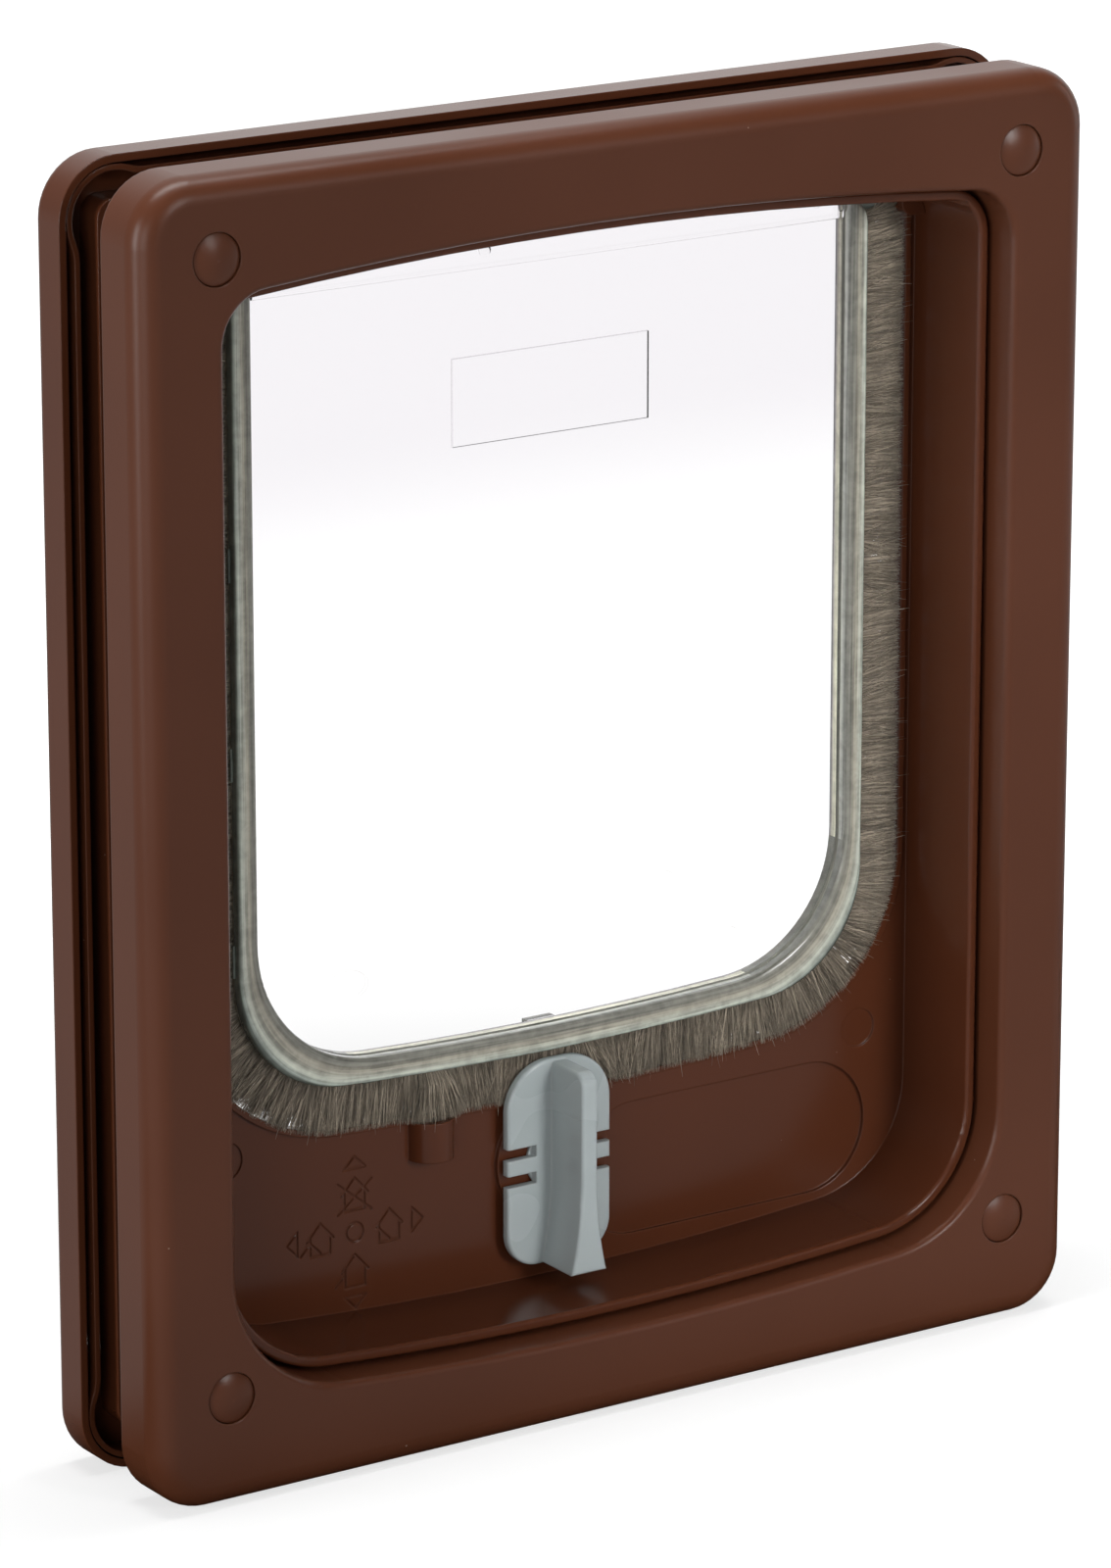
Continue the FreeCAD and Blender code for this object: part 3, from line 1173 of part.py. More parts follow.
for thing in doc.Objects:
    if "Invalid" in thing.State or "Error" in thing.State:
        raise RuntimeError(f"{thing.Label} did not compute: {thing.State}")

os.makedirs("parts", exist_ok=True)
for thing in sub_parts:
    shape = thing.Shape
    if shape.isNull() or not shape.isValid():
        raise RuntimeError(f"{thing.Label} has no valid shape")
    shape.exportStep(os.path.join("parts", thing.Label + ".step"))
    print(f"{thing.Label}: {len(shape.Solids)} solid, {shape.Volume / 1000:.2f} cm3")
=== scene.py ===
# %% [markdown]
# # A locking cat flap
# The object is a cat flap for a door. Two brown moulded frames clamp the door between them. A
# clear flap hangs on two stub axles at the top of the doorway, a strip of brush pile keeps the
# draught out round its edge, and a grey knob below it locks the way in, the way out, or both.
# The hard parts arrive already modelled, as the frame. This notebook photographs them: it sets
# up a small studio, mixes the plastics, and grows the one thing that no solid can stand for,
# the fibres of the pile.

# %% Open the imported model
import json
import math

import bpy
import numpy as np
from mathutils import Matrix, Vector


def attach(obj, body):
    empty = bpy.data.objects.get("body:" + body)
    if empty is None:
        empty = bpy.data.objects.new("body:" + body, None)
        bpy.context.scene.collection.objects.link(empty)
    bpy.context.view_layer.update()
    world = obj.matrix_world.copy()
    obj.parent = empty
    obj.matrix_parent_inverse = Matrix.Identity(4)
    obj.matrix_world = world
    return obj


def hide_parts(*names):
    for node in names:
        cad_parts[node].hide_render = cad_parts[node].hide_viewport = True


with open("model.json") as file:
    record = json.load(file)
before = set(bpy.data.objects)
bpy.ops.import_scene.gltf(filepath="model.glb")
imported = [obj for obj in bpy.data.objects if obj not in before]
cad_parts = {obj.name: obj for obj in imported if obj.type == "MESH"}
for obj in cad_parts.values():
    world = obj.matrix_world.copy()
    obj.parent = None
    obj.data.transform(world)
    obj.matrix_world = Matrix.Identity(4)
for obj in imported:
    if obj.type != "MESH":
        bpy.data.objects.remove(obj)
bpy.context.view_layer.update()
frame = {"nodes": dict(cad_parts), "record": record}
nodes = frame["nodes"]

# %% [markdown]
# ## The camera
# The picture is taken from the left of the flap and a little above it, with a long lens, so
# that upright lines stay nearly parallel. A camera could be placed by hand until it looks
# right. Here its direction, distance and lens are written down instead, because they were
# measured from the outlines of the two frames.

# %% Camera
MM = 0.001
CAMERA_PLACE = Vector((-0.6916, -1.0312, 0.4754))
AIM_TURN = math.radians(33.66)
AIM_DROP = math.radians(16.24)
LENS = 166.6

lens = bpy.data.cameras.new("camera")
lens.lens = LENS
camera = bpy.data.objects.new("camera", lens)
camera.location = CAMERA_PLACE
aim = Vector((math.sin(AIM_TURN) * math.cos(AIM_DROP), math.cos(AIM_TURN) * math.cos(AIM_DROP),
              -math.sin(AIM_DROP)))
camera.rotation_euler = aim.to_track_quat("-Z", "Y").to_euler()
bpy.context.collection.objects.link(camera)
bpy.context.scene.camera = camera
bpy.context.scene.view_settings.view_transform = "Standard"
print("camera at", [round(x, 3) for x in camera.location])

# %% [markdown]
# ## Wiring nodes
# Every finish below is a small tree of shader nodes. Making a node, setting its choices and
# joining its sockets takes many lines, so one helper does all three: a socket given as a value
# joins, and anything else becomes the setting of that input.

# %% Node helpers
def add(tree, kind, inputs=None, **choices):
    """Adds a node of that kind, sets its choices, and sets or joins its inputs."""
    node = tree.nodes.new("ShaderNode" + kind)
    for name, choice in choices.items():
        setattr(node, name, choice)
    for name, given in (inputs or {}).items():
        if isinstance(given, bpy.types.NodeSocket):
            tree.links.new(given, node.inputs[name])
        else:
            node.inputs[name].default_value = given
    return node


def maths(tree, operation, first, second=0.0):
    """The result of one sum."""
    return add(tree, "Math", {0: first, 1: second}, operation=operation).outputs[0]


def ramp(tree, value, low, high, to_low=0.0, to_high=1.0):
    """The value between two limits, eased and spread over a new range."""
    node = add(tree, "MapRange", {"Value": value, "From Min": low, "From Max": high,
                                  "To Min": to_low, "To Max": to_high},
               interpolation_type="SMOOTHSTEP")
    return node.outputs["Result"]


def noise(tree, where, scale, detail=2.0, roughness=0.5):
    """Noise between 0 and 1 at those coordinates."""
    node = add(tree, "TexNoise", {"Vector": where, "Scale": scale, "Detail": detail,
                                  "Roughness": roughness})
    return node.outputs["Fac"]


def blend_colours(tree, factor, first, second):
    """The first colour at 0, the second at 1."""
    node = add(tree, "Mix", {0: factor, 6: first, 7: second}, data_type="RGBA")
    return node.outputs[2]


print("helpers: add, maths, ramp, noise, blend_colours")

# %% [markdown]
# ## The studio
# The flap stands in front of a white backdrop, and the room on the camera's side is dim. That
# is why the top edges of the brown frames, seen at a low angle, carry a pale sheen while their
# faces stay deep brown. The backdrop could be a lit sheet of paper, but then its light would
# wash over the object. A world that is white for the rays that look at it or through the flap,
# and much weaker for the light it sheds, keeps the two apart. Clear plastic turns away about a
# tenth of what passes, so rays through it find the backdrop a little brighter.

# %% World
AMBIENT = 0.25
ROOM = 0.04
BEYOND = 1.15
LEFT_SIDE = 0.35
BEHIND_FROM, BEHIND_TO = 0.0, 0.5
LEFT_FROM, LEFT_TO = -0.4, 0.1


def kinds_of_ray(tree):
    """Whether a ray looks straight or through something clear, and whether it mirrors."""
    path = add(tree, "LightPath").outputs
    through = maths(tree, "MULTIPLY", path["Is Transmission Ray"], BEYOND)
    return maths(tree, "MAXIMUM", path["Is Camera Ray"], through), path["Is Glossy Ray"]


world = bpy.data.worlds.new("studio")
world.use_nodes = True
tree = world.node_tree
tree.nodes.clear()
looks, mirrors = kinds_of_ray(tree)
way = add(tree, "SeparateXYZ", {0: add(tree, "TexCoord").outputs["Generated"]})
backdrop = maths(tree, "MULTIPLY",
                 ramp(tree, way.outputs["Y"], BEHIND_FROM, BEHIND_TO, ROOM, 1.0),
                 ramp(tree, way.outputs["X"], LEFT_FROM, LEFT_TO, LEFT_SIDE, 1.0))
shed = maths(tree, "MULTIPLY", maths(tree, "SUBTRACT", 1.0, mirrors), AMBIENT)
level = maths(tree, "ADD", shed, maths(tree, "MULTIPLY", mirrors, backdrop))
light = add(tree, "Background", {"Color": (1, 1, 1, 1),
                                 "Strength": maths(tree, "MAXIMUM", level, looks)})
add(tree, "OutputWorld", {"Surface": light.outputs[0]})
bpy.context.scene.world = world
print("world: backdrop 1.0, room", ROOM, "and shed light", AMBIENT)

# %% [markdown]
# ## The floor
# The floor is plain and pale and runs out of sight under the backdrop. It glows a little for
# the rays that look at it, more so far away where the lamps don't reach, so that it meets the
# white backdrop without a line. Near the object the rest of its brightness is the light of the
# lamps, which the soft shadow takes away. A sheet this bright would wash out the brown faces
# that mirror it, so a mirroring ray finds it at half that level, and dark close to the frames,
# where their own shadow lies.

# %% Floor
FLOOR_TONE = 0.36
NEAR_GLOW = 0.66
FAR_GLOW = 0.97
GLOW_FROM, GLOW_TO = 0.1, 0.28
MIRRORED = 0.5
MIRROR_FROM, MIRROR_TO = 0.015, 0.05
FLOOR_RADIUS = 4.0
FLOOR_SIDES = 64
floor_mesh = bpy.data.meshes.new("floor")
turns = np.linspace(0, 2 * math.pi, FLOOR_SIDES, endpoint=False)
floor_mesh.from_pydata([(FLOOR_RADIUS * math.cos(a), FLOOR_RADIUS * math.sin(a), 0.0)
                        for a in turns], [], [tuple(range(FLOOR_SIDES))])
floor = bpy.data.objects.new("floor", floor_mesh)
bpy.context.collection.objects.link(floor)
paper = bpy.data.materials.new("pale_floor")
paper.use_nodes = True
tree = paper.node_tree
tree.nodes.clear()
looks, mirrors = kinds_of_ray(tree)
here = add(tree, "TexCoord").outputs["Object"]
away = add(tree, "VectorMath", {0: here}, operation="LENGTH").outputs["Value"]
strength = ramp(tree, away, GLOW_FROM, GLOW_TO, NEAR_GLOW, FAR_GLOW)
ahead = maths(tree, "ABSOLUTE", add(tree, "SeparateXYZ", {0: here}).outputs["Y"])
shown = ramp(tree, ahead, MIRROR_FROM, MIRROR_TO, 0.0, MIRRORED)
level = maths(tree, "MAXIMUM", maths(tree, "MULTIPLY", looks, strength),
              maths(tree, "MULTIPLY", mirrors, shown))
glow = add(tree, "Emission", {"Strength": level})
tone = blend_colours(tree, mirrors, (FLOOR_TONE, FLOOR_TONE, FLOOR_TONE, 1), (0, 0, 0, 1))
sheet = add(tree, "BsdfDiffuse", {"Color": tone})
both = add(tree, "AddShader", {0: sheet.outputs[0], 1: glow.outputs[0]})
add(tree, "OutputMaterial", {"Surface": both.outputs[0]})
floor_mesh.materials.append(paper)
print("floor radius", FLOOR_RADIUS, "m")

# %% [markdown]
# ## The lamps
# Five soft lamps light it. The key stands in front at the right and points past the object's
# right edge: its beam is narrow, so the right of the frame is brighter than the left. A second
# at the far right reaches the knob and the panel. One at the left, nearly level with the face,
# lights only the frame's left flank and the tunnel's right wall. One at the left front fills
# the knob's shaded side, and a narrow one overhead lights the top edges. Their powers come
# from rendering each lamp alone and solving for the tones that the picture shows, which is
# quicker than trying them together.

# %% Lamps
MIDDLE = (0.0, 0.0, 0.12)
LAMPS = {
    "key_softbox": ((0.30, -0.80, 0.40), (0.4, 0.4), 0.38, 30, (0.15, 0.0, 0.12)),
    "right_softbox": ((1.20, -0.25, 0.30), (0.5, 0.9), 1.6, 180, MIDDLE),
    "fill_softbox": ((-1.00, -0.80, 0.15), (0.5, 0.9), 5.5, 180, (0.0, 0.0, 0.05)),
    "left_softbox": ((-1.20, -0.12, 0.25), (0.2, 0.9), 9.5, 180, MIDDLE),
    "overhead_softbox": ((0.0, 0.03, 1.30), (1.0, 0.25), 13.0, 180, MIDDLE),
}
for name, (place, (wide, tall), power, spread, target) in LAMPS.items():
    light = bpy.data.lights.new(name, "AREA")
    light.shape = "RECTANGLE"
    light.size, light.size_y = wide, tall
    light.energy = power
    light.spread = math.radians(spread)
    lamp = bpy.data.objects.new(name, light)
    lamp.location = place
    lamp.rotation_euler = (Vector(target) - Vector(place)).to_track_quat("-Z", "Y").to_euler()
    lamp.visible_camera = False
    bpy.context.collection.objects.link(lamp)
    print("lamp", name, power, "W")

# %% [markdown]
# ## Effects that several finishes share
# Moulded plastic is never quite even. Its surface follows the fine texture of the steel mould,
# its colour drifts a little over a hand's breadth, dust settles on it, and every edge is
# slightly round. Each of these is a node group with named inputs, built once, so that a finish
# only says how much of it there is.

# %% Group helpers
def new_group(name, ins, outs):
    """An empty shader group with those sockets: its tree, its inputs, and its end node."""
    group = bpy.data.node_groups.new(name, "ShaderNodeTree")
    for label, start in ins.items():
        socket = group.interface.new_socket(label, in_out="INPUT", socket_type="NodeSocketFloat")
        socket.default_value = start
    for label, kind in outs.items():
        group.interface.new_socket(label, in_out="OUTPUT", socket_type="NodeSocket" + kind)
    start = group.nodes.new("NodeGroupInput")
    return group, start.outputs, group.nodes.new("NodeGroupOutput")


def give(group, end, results):
    """Joins the results to the group's outputs."""
    for label, socket in results.items():
        group.links.new(socket, end.inputs[label])
    print("group", group.name, "gives", ", ".join(results))
    return group


def use(tree, group, inputs=None):
    """Places a group in a material with its own values, and gives its outputs."""
    node = add(tree, "Group", None, node_tree=group)
    for label, given in (inputs or {}).items():
        if isinstance(given, bpy.types.NodeSocket):
            tree.links.new(given, node.inputs[label])
        else:
            node.inputs[label].default_value = given
    return node.outputs


# %% [markdown]
# ### Grain and drift
# Two sizes of noise are enough. A fine one, about the size of the mould's texture, feeds the
# bump, and a broad one makes the tone drift. Object coordinates are used, so the size is in
# real metres and stays the same on every part.

# %% Grain group
group, given, end = new_group(
    "moulded_grain", {"Grain Size": 0.0005, "Drift Size": 0.06},
    {"Height": "Float", "Tone": "Float"})
here = add(group, "TexCoord").outputs["Object"]
fine = noise(group, here, maths(group, "DIVIDE", 1.0, given["Grain Size"]), 3.0, 0.6)
broad = noise(group, here, maths(group, "DIVIDE", 1.0, given["Drift Size"]), 2.0, 0.5)
tone = ramp(group, broad, 0.3, 0.7)
GRAIN = give(group, end, {"Height": fine, "Tone": tone})

# %% [markdown]
# ### Soft edges
# A steel mould can't have a perfectly sharp corner, so every real edge catches a thin line of
# light. Rounding each edge in the mesh would take a great many faces. The Bevel node rounds
# only the shading, and where its normal differs from the true one there is an edge. The finish
# paints that edge a little paler too: a painted highlight, that thin line of light in colour.

# %% Edge group
group, given, end = new_group("soft_edges", {"Radius": 0.0004},
                              {"Normal": "Vector", "Edge": "Float"})
rounded = add(group, "Bevel", {"Radius": given["Radius"]}, samples=6).outputs[0]
true = add(group, "NewGeometry").outputs["Normal"]
match = add(group, "VectorMath", {0: rounded, 1: true}, operation="DOT_PRODUCT").outputs["Value"]
edge = ramp(group, match, 0.995, 0.85)
EDGES = give(group, end, {"Normal": rounded, "Edge": edge})

# %% [markdown]
# ### Dust
# Under the studio light a few pale specks show on the dark plastic. Small points scattered by a
# Voronoi texture look like them, when most of its cells stay empty and the specks differ in
# size.

# %% Dust group
group, given, end = new_group(
    "dust", {"Spacing": 0.004, "Speck Size": 0.05, "Share": 0.2}, {"Mask": "Float"})
here = add(group, "TexCoord").outputs["Object"]
cells = add(group, "TexVoronoi", {"Vector": here, "Randomness": 1.0,
                                  "Scale": maths(group, "DIVIDE", 1.0, given["Spacing"])})
chance = add(group, "SeparateColor", {0: cells.outputs["Color"]})
kept = maths(group, "LESS_THAN", chance.outputs[0], given["Share"])
reach = maths(group, "MULTIPLY", chance.outputs[1], given["Speck Size"])
speck = maths(group, "LESS_THAN", cells.outputs["Distance"], reach)
DUST = give(group, end, {"Mask": maths(group, "MULTIPLY", kept, speck)})

# %% [markdown]
# ## The brown plastics
# Both frames are moulded in the same chocolate brown. The inner frame, with its screw caps, has
# a satin face. The outer frame, its tunnel and the panel with the knob are smoother and mirror
# more. One recipe with different numbers makes both: a base colour that drifts, paler edges,
# dust specks, and a bump from the grain.

# %% Plastic recipe
EDGE_HIGHLIGHT_SHARE = 0.35
DUST_COVER = 0.6
DUST_TONE = (0.5, 0.42, 0.36, 1)
DUST_ROUGHNESS = 0.3
SHEEN_DRIFT = 0.03
GRAIN_DEPTH = 0.0002


def finish_material(name):
    """An empty material and its tree."""
    material = bpy.data.materials.new(name)
    material.use_nodes = True
    material.node_tree.nodes.clear()
    return material, material.node_tree


def moulded(name, deep, pale, painted_edge_tone, rough, specular, edge_radius, dust_share, grain=0.06):
    """A moulded plastic of two tones, with a painted highlight on its edges, dust and grain."""
    material, tree = finish_material(name)
    surface = use(tree, GRAIN)
    edges = use(tree, EDGES, {"Radius": edge_radius})
    specks = use(tree, DUST, {"Share": dust_share})
    colour = blend_colours(tree, surface["Tone"], (*deep, 1), (*pale, 1))
    # Painted highlight: the colour is made paler along every edge.
    colour = blend_colours(tree, maths(tree, "MULTIPLY", edges["Edge"], EDGE_HIGHLIGHT_SHARE), colour,
                           (*painted_edge_tone, 1))
    colour = blend_colours(tree, maths(tree, "MULTIPLY", specks["Mask"], DUST_COVER), colour,
                           DUST_TONE)
    sheen = ramp(tree, surface["Tone"], 0.0, 1.0, rough - SHEEN_DRIFT, rough + SHEEN_DRIFT)
    sheen = maths(tree, "ADD", sheen, maths(tree, "MULTIPLY", specks["Mask"], DUST_ROUGHNESS))
    bump = add(tree, "Bump", {"Height": surface["Height"], "Normal": edges["Normal"],
                              "Strength": grain, "Distance": GRAIN_DEPTH})
    shader = add(tree, "BsdfPrincipled", {
        "Base Color": colour, "Roughness": sheen, "Normal": bump.outputs[0],
        "IOR": 1.5, "Specular IOR Level": specular})
    add(tree, "OutputMaterial", {"Surface": shader.outputs[0]})
    print("plastic", name)
    return material


brown_satin = moulded("chocolate_satin", (0.076, 0.0235, 0.0105), (0.088, 0.0275, 0.0125),
                      (0.15, 0.062, 0.036), 0.31, 0.24, 0.0005, 0.05)
brown_gloss = moulded("chocolate_gloss", (0.074, 0.0215, 0.009), (0.083, 0.0245, 0.0105),
                      (0.14, 0.055, 0.030), 0.22, 0.26, 0.0004, 0.12, grain=0.03)

# %% [markdown]
# ## The grey knob
# The lock's knob and the cams behind the panel are a cool mid grey, moulded smooth. It is the
# same recipe with a fainter grain.

# %% Grey plastic
grey = moulded("knob_grey", (0.39, 0.435, 0.44), (0.395, 0.44, 0.443), (0.54, 0.56, 0.54),
               0.27, 0.5, 0.0005, 0.04, grain=0.02)

# %% [markdown]
# ## Steel and magnets
# The frame screws and the cam's screw are zinc plated: a bright, slightly cloudy metal. The two
# magnets are coated a dull dark grey. Little of them shows, but a reader may turn the part
# over, so each has its own finish.

# %% Metals
def metal(name, dark, bright, rough):
    """A metal whose brightness and roughness drift in small clouds."""
    material, tree = finish_material(name)
    surface = use(tree, GRAIN, {"Grain Size": 0.0003, "Drift Size": 0.002})
    edges = use(tree, EDGES, {"Radius": 0.0002})
    colour = blend_colours(tree, surface["Tone"], (*dark, 1), (*bright, 1))
    bump = add(tree, "Bump", {"Height": surface["Height"], "Normal": edges["Normal"],
                              "Strength": 0.1, "Distance": 0.0001})
    sheen = ramp(tree, surface["Tone"], 0.0, 1.0, rough + 0.08, rough)
    shader = add(tree, "BsdfPrincipled", {
        "Base Color": colour, "Roughness": sheen, "Normal": bump.outputs[0], "Metallic": 1.0})
    add(tree, "OutputMaterial", {"Surface": shader.outputs[0]})
    print("metal", name)
    return material


zinc = metal("zinc_plate", (0.45, 0.45, 0.46), (0.62, 0.62, 0.60), 0.3)
magnet = metal("magnet_coat", (0.10, 0.10, 0.11), (0.16, 0.16, 0.17), 0.45)

# %% [markdown]
# ## The clear flap
# The flap is moulded in clear plastic, and through its middle the white backdrop shows almost
# unchanged; painted shade greys the pane a trace towards the top. Its edges and moulded marks
# turn the light away, and show as fine grey lines of painted shade. Glass shading also casts a
# shadow as dark as a board's, which clear plastic doesn't, so shadow rays pass through a plain
# transparent shader instead. Three short lint hairs keep the pane from looking empty.

# %% Lint hair group
group, given, end = new_group(
    "lint_hair", {"Across": 0.0, "Up": 0.0, "Radius": 0.003, "Thickness": 0.00012},
    {"Mask": "Float"})
spot = add(group, "SeparateXYZ", {0: add(group, "TexCoord").outputs["Object"]}).outputs
beside = maths(group, "SUBTRACT", spot["X"], given["Across"])
above = maths(group, "SUBTRACT", spot["Z"], given["Up"])
turned = add(group, "CombineXYZ", {0: beside, 1: maths(group, "MULTIPLY", above, 1.6)})
round_by = add(group, "VectorMath", {0: turned.outputs[0]}, operation="LENGTH").outputs["Value"]
off = maths(group, "ABSOLUTE", maths(group, "SUBTRACT", round_by, given["Radius"]))
line = maths(group, "LESS_THAN", off, given["Thickness"])
kept = maths(group, "LESS_THAN", maths(group, "MULTIPLY", beside, -0.8), above)
HAIR = give(group, end, {"Mask": maths(group, "MULTIPLY", line, kept)})

# %% Clear pane
CLEAR_IOR = 1.49
PANE_MIDDLE, PANE_TOP = 0.148, 0.182
HAIRS_AT = ((0.0235, 0.0895, 0.0032), (-0.044, 0.0815, 0.0045), (0.038, 0.0765, 0.003))


def clear_finish(tree, body):
    """Ends a clear material: its body, but shadow rays go straight through."""
    through = add(tree, "BsdfTransparent", {"Color": (0.9, 0.92, 0.91, 1)})
    shadow = add(tree, "LightPath").outputs["Is Shadow Ray"]
    either = add(tree, "MixShader", {0: shadow, 1: body.outputs[0], 2: through.outputs[0]})
    add(tree, "OutputMaterial", {"Surface": either.outputs[0]})


clear, tree = finish_material("clear_pane")
# Painted shade: the pane's colour greys towards its top.
height = add(tree, "SeparateXYZ", {0: add(tree, "TexCoord").outputs["Object"]}).outputs["Z"]
painted_shade_tint = blend_colours(tree, ramp(tree, height, PANE_MIDDLE, PANE_TOP), (0.995, 0.995, 0.995, 1),
                     (0.845, 0.825, 0.85, 1))
# Painted shade: edges and moulded marks are darkened to fine grey lines.
edges = use(tree, EDGES, {"Radius": 0.00025})
painted_shade_tint = blend_colours(tree, maths(tree, "MULTIPLY", edges["Edge"], 0.8), painted_shade_tint,
                     (0.20, 0.18, 0.20, 1))
hairs = 0.0
for beside, up, radius in HAIRS_AT:
    hair = use(tree, HAIR, {"Across": beside, "Up": up, "Radius": radius})
    hairs = maths(tree, "ADD", hair["Mask"], hairs)
painted_shade_tint = blend_colours(tree, maths(tree, "MULTIPLY", hairs, 0.4), painted_shade_tint, (0.62, 0.60, 0.57, 1))
clear_finish(tree, add(tree, "BsdfPrincipled", {
    "Base Color": painted_shade_tint, "Roughness": 0.01, "IOR": CLEAR_IOR, "Metallic": 0.0,
    "Transmission Weight": 1.0}))
print("clear pane finish", clear.name)

# %% [markdown]
# ### Where the rim's light gathers
# The rim is a channel of clear plastic with the pile's pale tape inside. Looking at it, one sees
# narrow bands that run all the way round it: bright where the plastic gathers the light of the
# backdrop, grey-green where it shows what is behind. True glass shading finds those bands only
# if every hidden surface of the real rim is there. So the bands are placed by measure instead:
# a group works out how far a point lies from the rim's outer edge, goes on counting down its
# inner wall, and gives that distance in millimetres.

# %% Rim distance group
BOW = 780.0
OUTLINE = {"half": 67.2, "bow_z": 842.3, "corner": 22.6}
HOLE = {"half": 63.2, "bow_z": 847.0, "corner": 25.0}
RIM_FRONT, PANE_REAR, RIM_WIDE = 6.05, 9.65, 4.0
group, given, end = new_group("rim_distance", {}, {"Across": "Float"})
spot = add(group, "VectorMath", {0: add(group, "TexCoord").outputs["Object"],
                                 1: (1000, 1000, 1000)}, operation="MULTIPLY").outputs[0]
axes = add(group, "SeparateXYZ", {0: spot}).outputs


def inside_by(half, bow_z, corner):
    """How far the point lies inside a U of that half width, bowed bottom and corner."""
    rise = maths(group, "SUBTRACT", axes["Z"], bow_z)
    spoke = add(group, "CombineXYZ", {0: axes["X"], 1: rise}).outputs[0]
    far = add(group, "VectorMath", {0: spoke}, operation="LENGTH").outputs["Value"]
    aside = maths(group, "ADD", maths(group, "ABSOLUTE", axes["X"]), corner - half)
    low = maths(group, "ADD", far, corner - BOW)
    near = add(group, "VectorMath", {0: add(group, "CombineXYZ", {0: aside, 1: low}).outputs[0],
                                     1: (0, 0, 0)}, operation="MAXIMUM").outputs[0]
    length = add(group, "VectorMath", {0: near}, operation="LENGTH").outputs["Value"]
    return maths(group, "SUBTRACT", corner, length)


outer = maths(group, "MAXIMUM", inside_by(**OUTLINE), 0.0)
inner = maths(group, "MAXIMUM", maths(group, "MULTIPLY", inside_by(**HOLE), -1.0), 0.0)
both = maths(group, "ADD", maths(group, "ADD", outer, inner), 0.001)
share = maths(group, "DIVIDE", outer, both)
depth = maths(group, "MAXIMUM", maths(group, "SUBTRACT", axes["Y"], RIM_FRONT), 0.0)
wall = maths(group, "MULTIPLY", maths(group, "GREATER_THAN", share, 0.96), depth)
across = maths(group, "ADD", maths(group, "MULTIPLY", share, RIM_WIDE), wall)
RIM = give(group, end, {"Across": across})

# %% Channel finish
BANDS = ((0.0, (0.13, 0.15, 0.13)), (0.25, (0.40, 0.45, 0.40)), (0.7, (0.56, 0.59, 0.51)),
         (1.3, (0.47, 0.47, 0.40)), (1.8, (0.46, 0.44, 0.36)), (2.3, (0.34, 0.32, 0.26)),
         (2.8, (0.24, 0.235, 0.20)), (4.2, (0.25, 0.25, 0.22)), (5.2, (0.42, 0.43, 0.385)),
         (6.0, (0.62, 0.64, 0.54)), (7.5, (0.98, 0.98, 0.78)), (8.6, (0.92, 0.87, 0.68)),
         (9.1, (0.40, 0.37, 0.37)), (9.5, (0.22, 0.21, 0.24)))
BAND_REACH = 10.0

channel, tree = finish_material("clear_channel")
rim = use(tree, RIM)
bands = add(tree, "ValToRGB", {0: maths(tree, "DIVIDE", rim["Across"], BAND_REACH)})
stops = bands.color_ramp.elements
for place, colour in BANDS[2:]:
    stops.new(place / BAND_REACH)
for stop, (place, colour) in zip(stops, BANDS):
    stop.position = place / BAND_REACH
    stop.color = (*colour, 1)
here = add(tree, "TexCoord").outputs["Object"]
axes = add(tree, "SeparateXYZ", {0: here}).outputs
run = maths(tree, "MULTIPLY", maths(tree, "SUBTRACT", axes["Z"], axes["X"]), 25.0)
lanes = add(tree, "CombineXYZ", {0: maths(tree, "MULTIPLY", rim["Across"], 1.6), 1: run})
streaks = noise(tree, lanes.outputs[0], 1.0, 3.0, 0.6)
mottle = noise(tree, here, 420.0, 3.0, 0.6)
uneven = maths(tree, "ADD", ramp(tree, streaks, 0.3, 0.7, 0.62, 1.22),
               ramp(tree, mottle, 0.3, 0.7, -0.14, 0.14))
shade = add(tree, "VectorMath", {0: bands.outputs["Color"], 3: uneven}, operation="SCALE")
edges = use(tree, EDGES, {"Radius": 0.0003})
ripple = add(tree, "Bump", {"Height": streaks, "Strength": 0.25, "Distance": 0.0004,
                            "Normal": edges["Normal"]})
clear_finish(tree, add(tree, "BsdfPrincipled", {
    "Base Color": shade.outputs[0], "Roughness": ramp(tree, mottle, 0.3, 0.7, 0.08, 0.16),
    "Normal": ripple.outputs[0], "IOR": CLEAR_IOR, "Metallic": 0.0, "Transmission Weight": 0.12,
    "Coat Weight": 0.5, "Coat Roughness": 0.04}))
print("channel finish with", len(BANDS), "bands")

# %% [markdown]
# ## Giving the hard parts their finish
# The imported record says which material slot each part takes, so the finishes are handed out by
# slot and no part is forgotten.

# %% Hand out the finishes
def wear(part, finish):
    """Gives every slot of a part that finish."""
    for place in part.material_slots:
        place.material = finish


FINISHES = {"brown_satin": brown_satin, "brown_gloss": brown_gloss, "grey_plastic": grey,
            "zinc_steel": zinc, "magnet": magnet, "clear_plastic": clear}
slot_of = {row["node"]: row["material_slot"] for row in frame["record"]["subparts"]}
for name, part in nodes.items():
    if slot_of[name] in FINISHES:
        wear(part, FINISHES[slot_of[name]])
print("finished:", sum(slot_of[name] in FINISHES for name in nodes), "of", len(nodes), "parts")

# %% [markdown]
# ### The pane and its rim
# The retainer is rim all over. The flap's panel is pane in the middle and rim round it, in one
# moulding, so its faces are shared out: a face behind the pane whose middle lies outside the
# rim's inner outline takes the channel's finish.

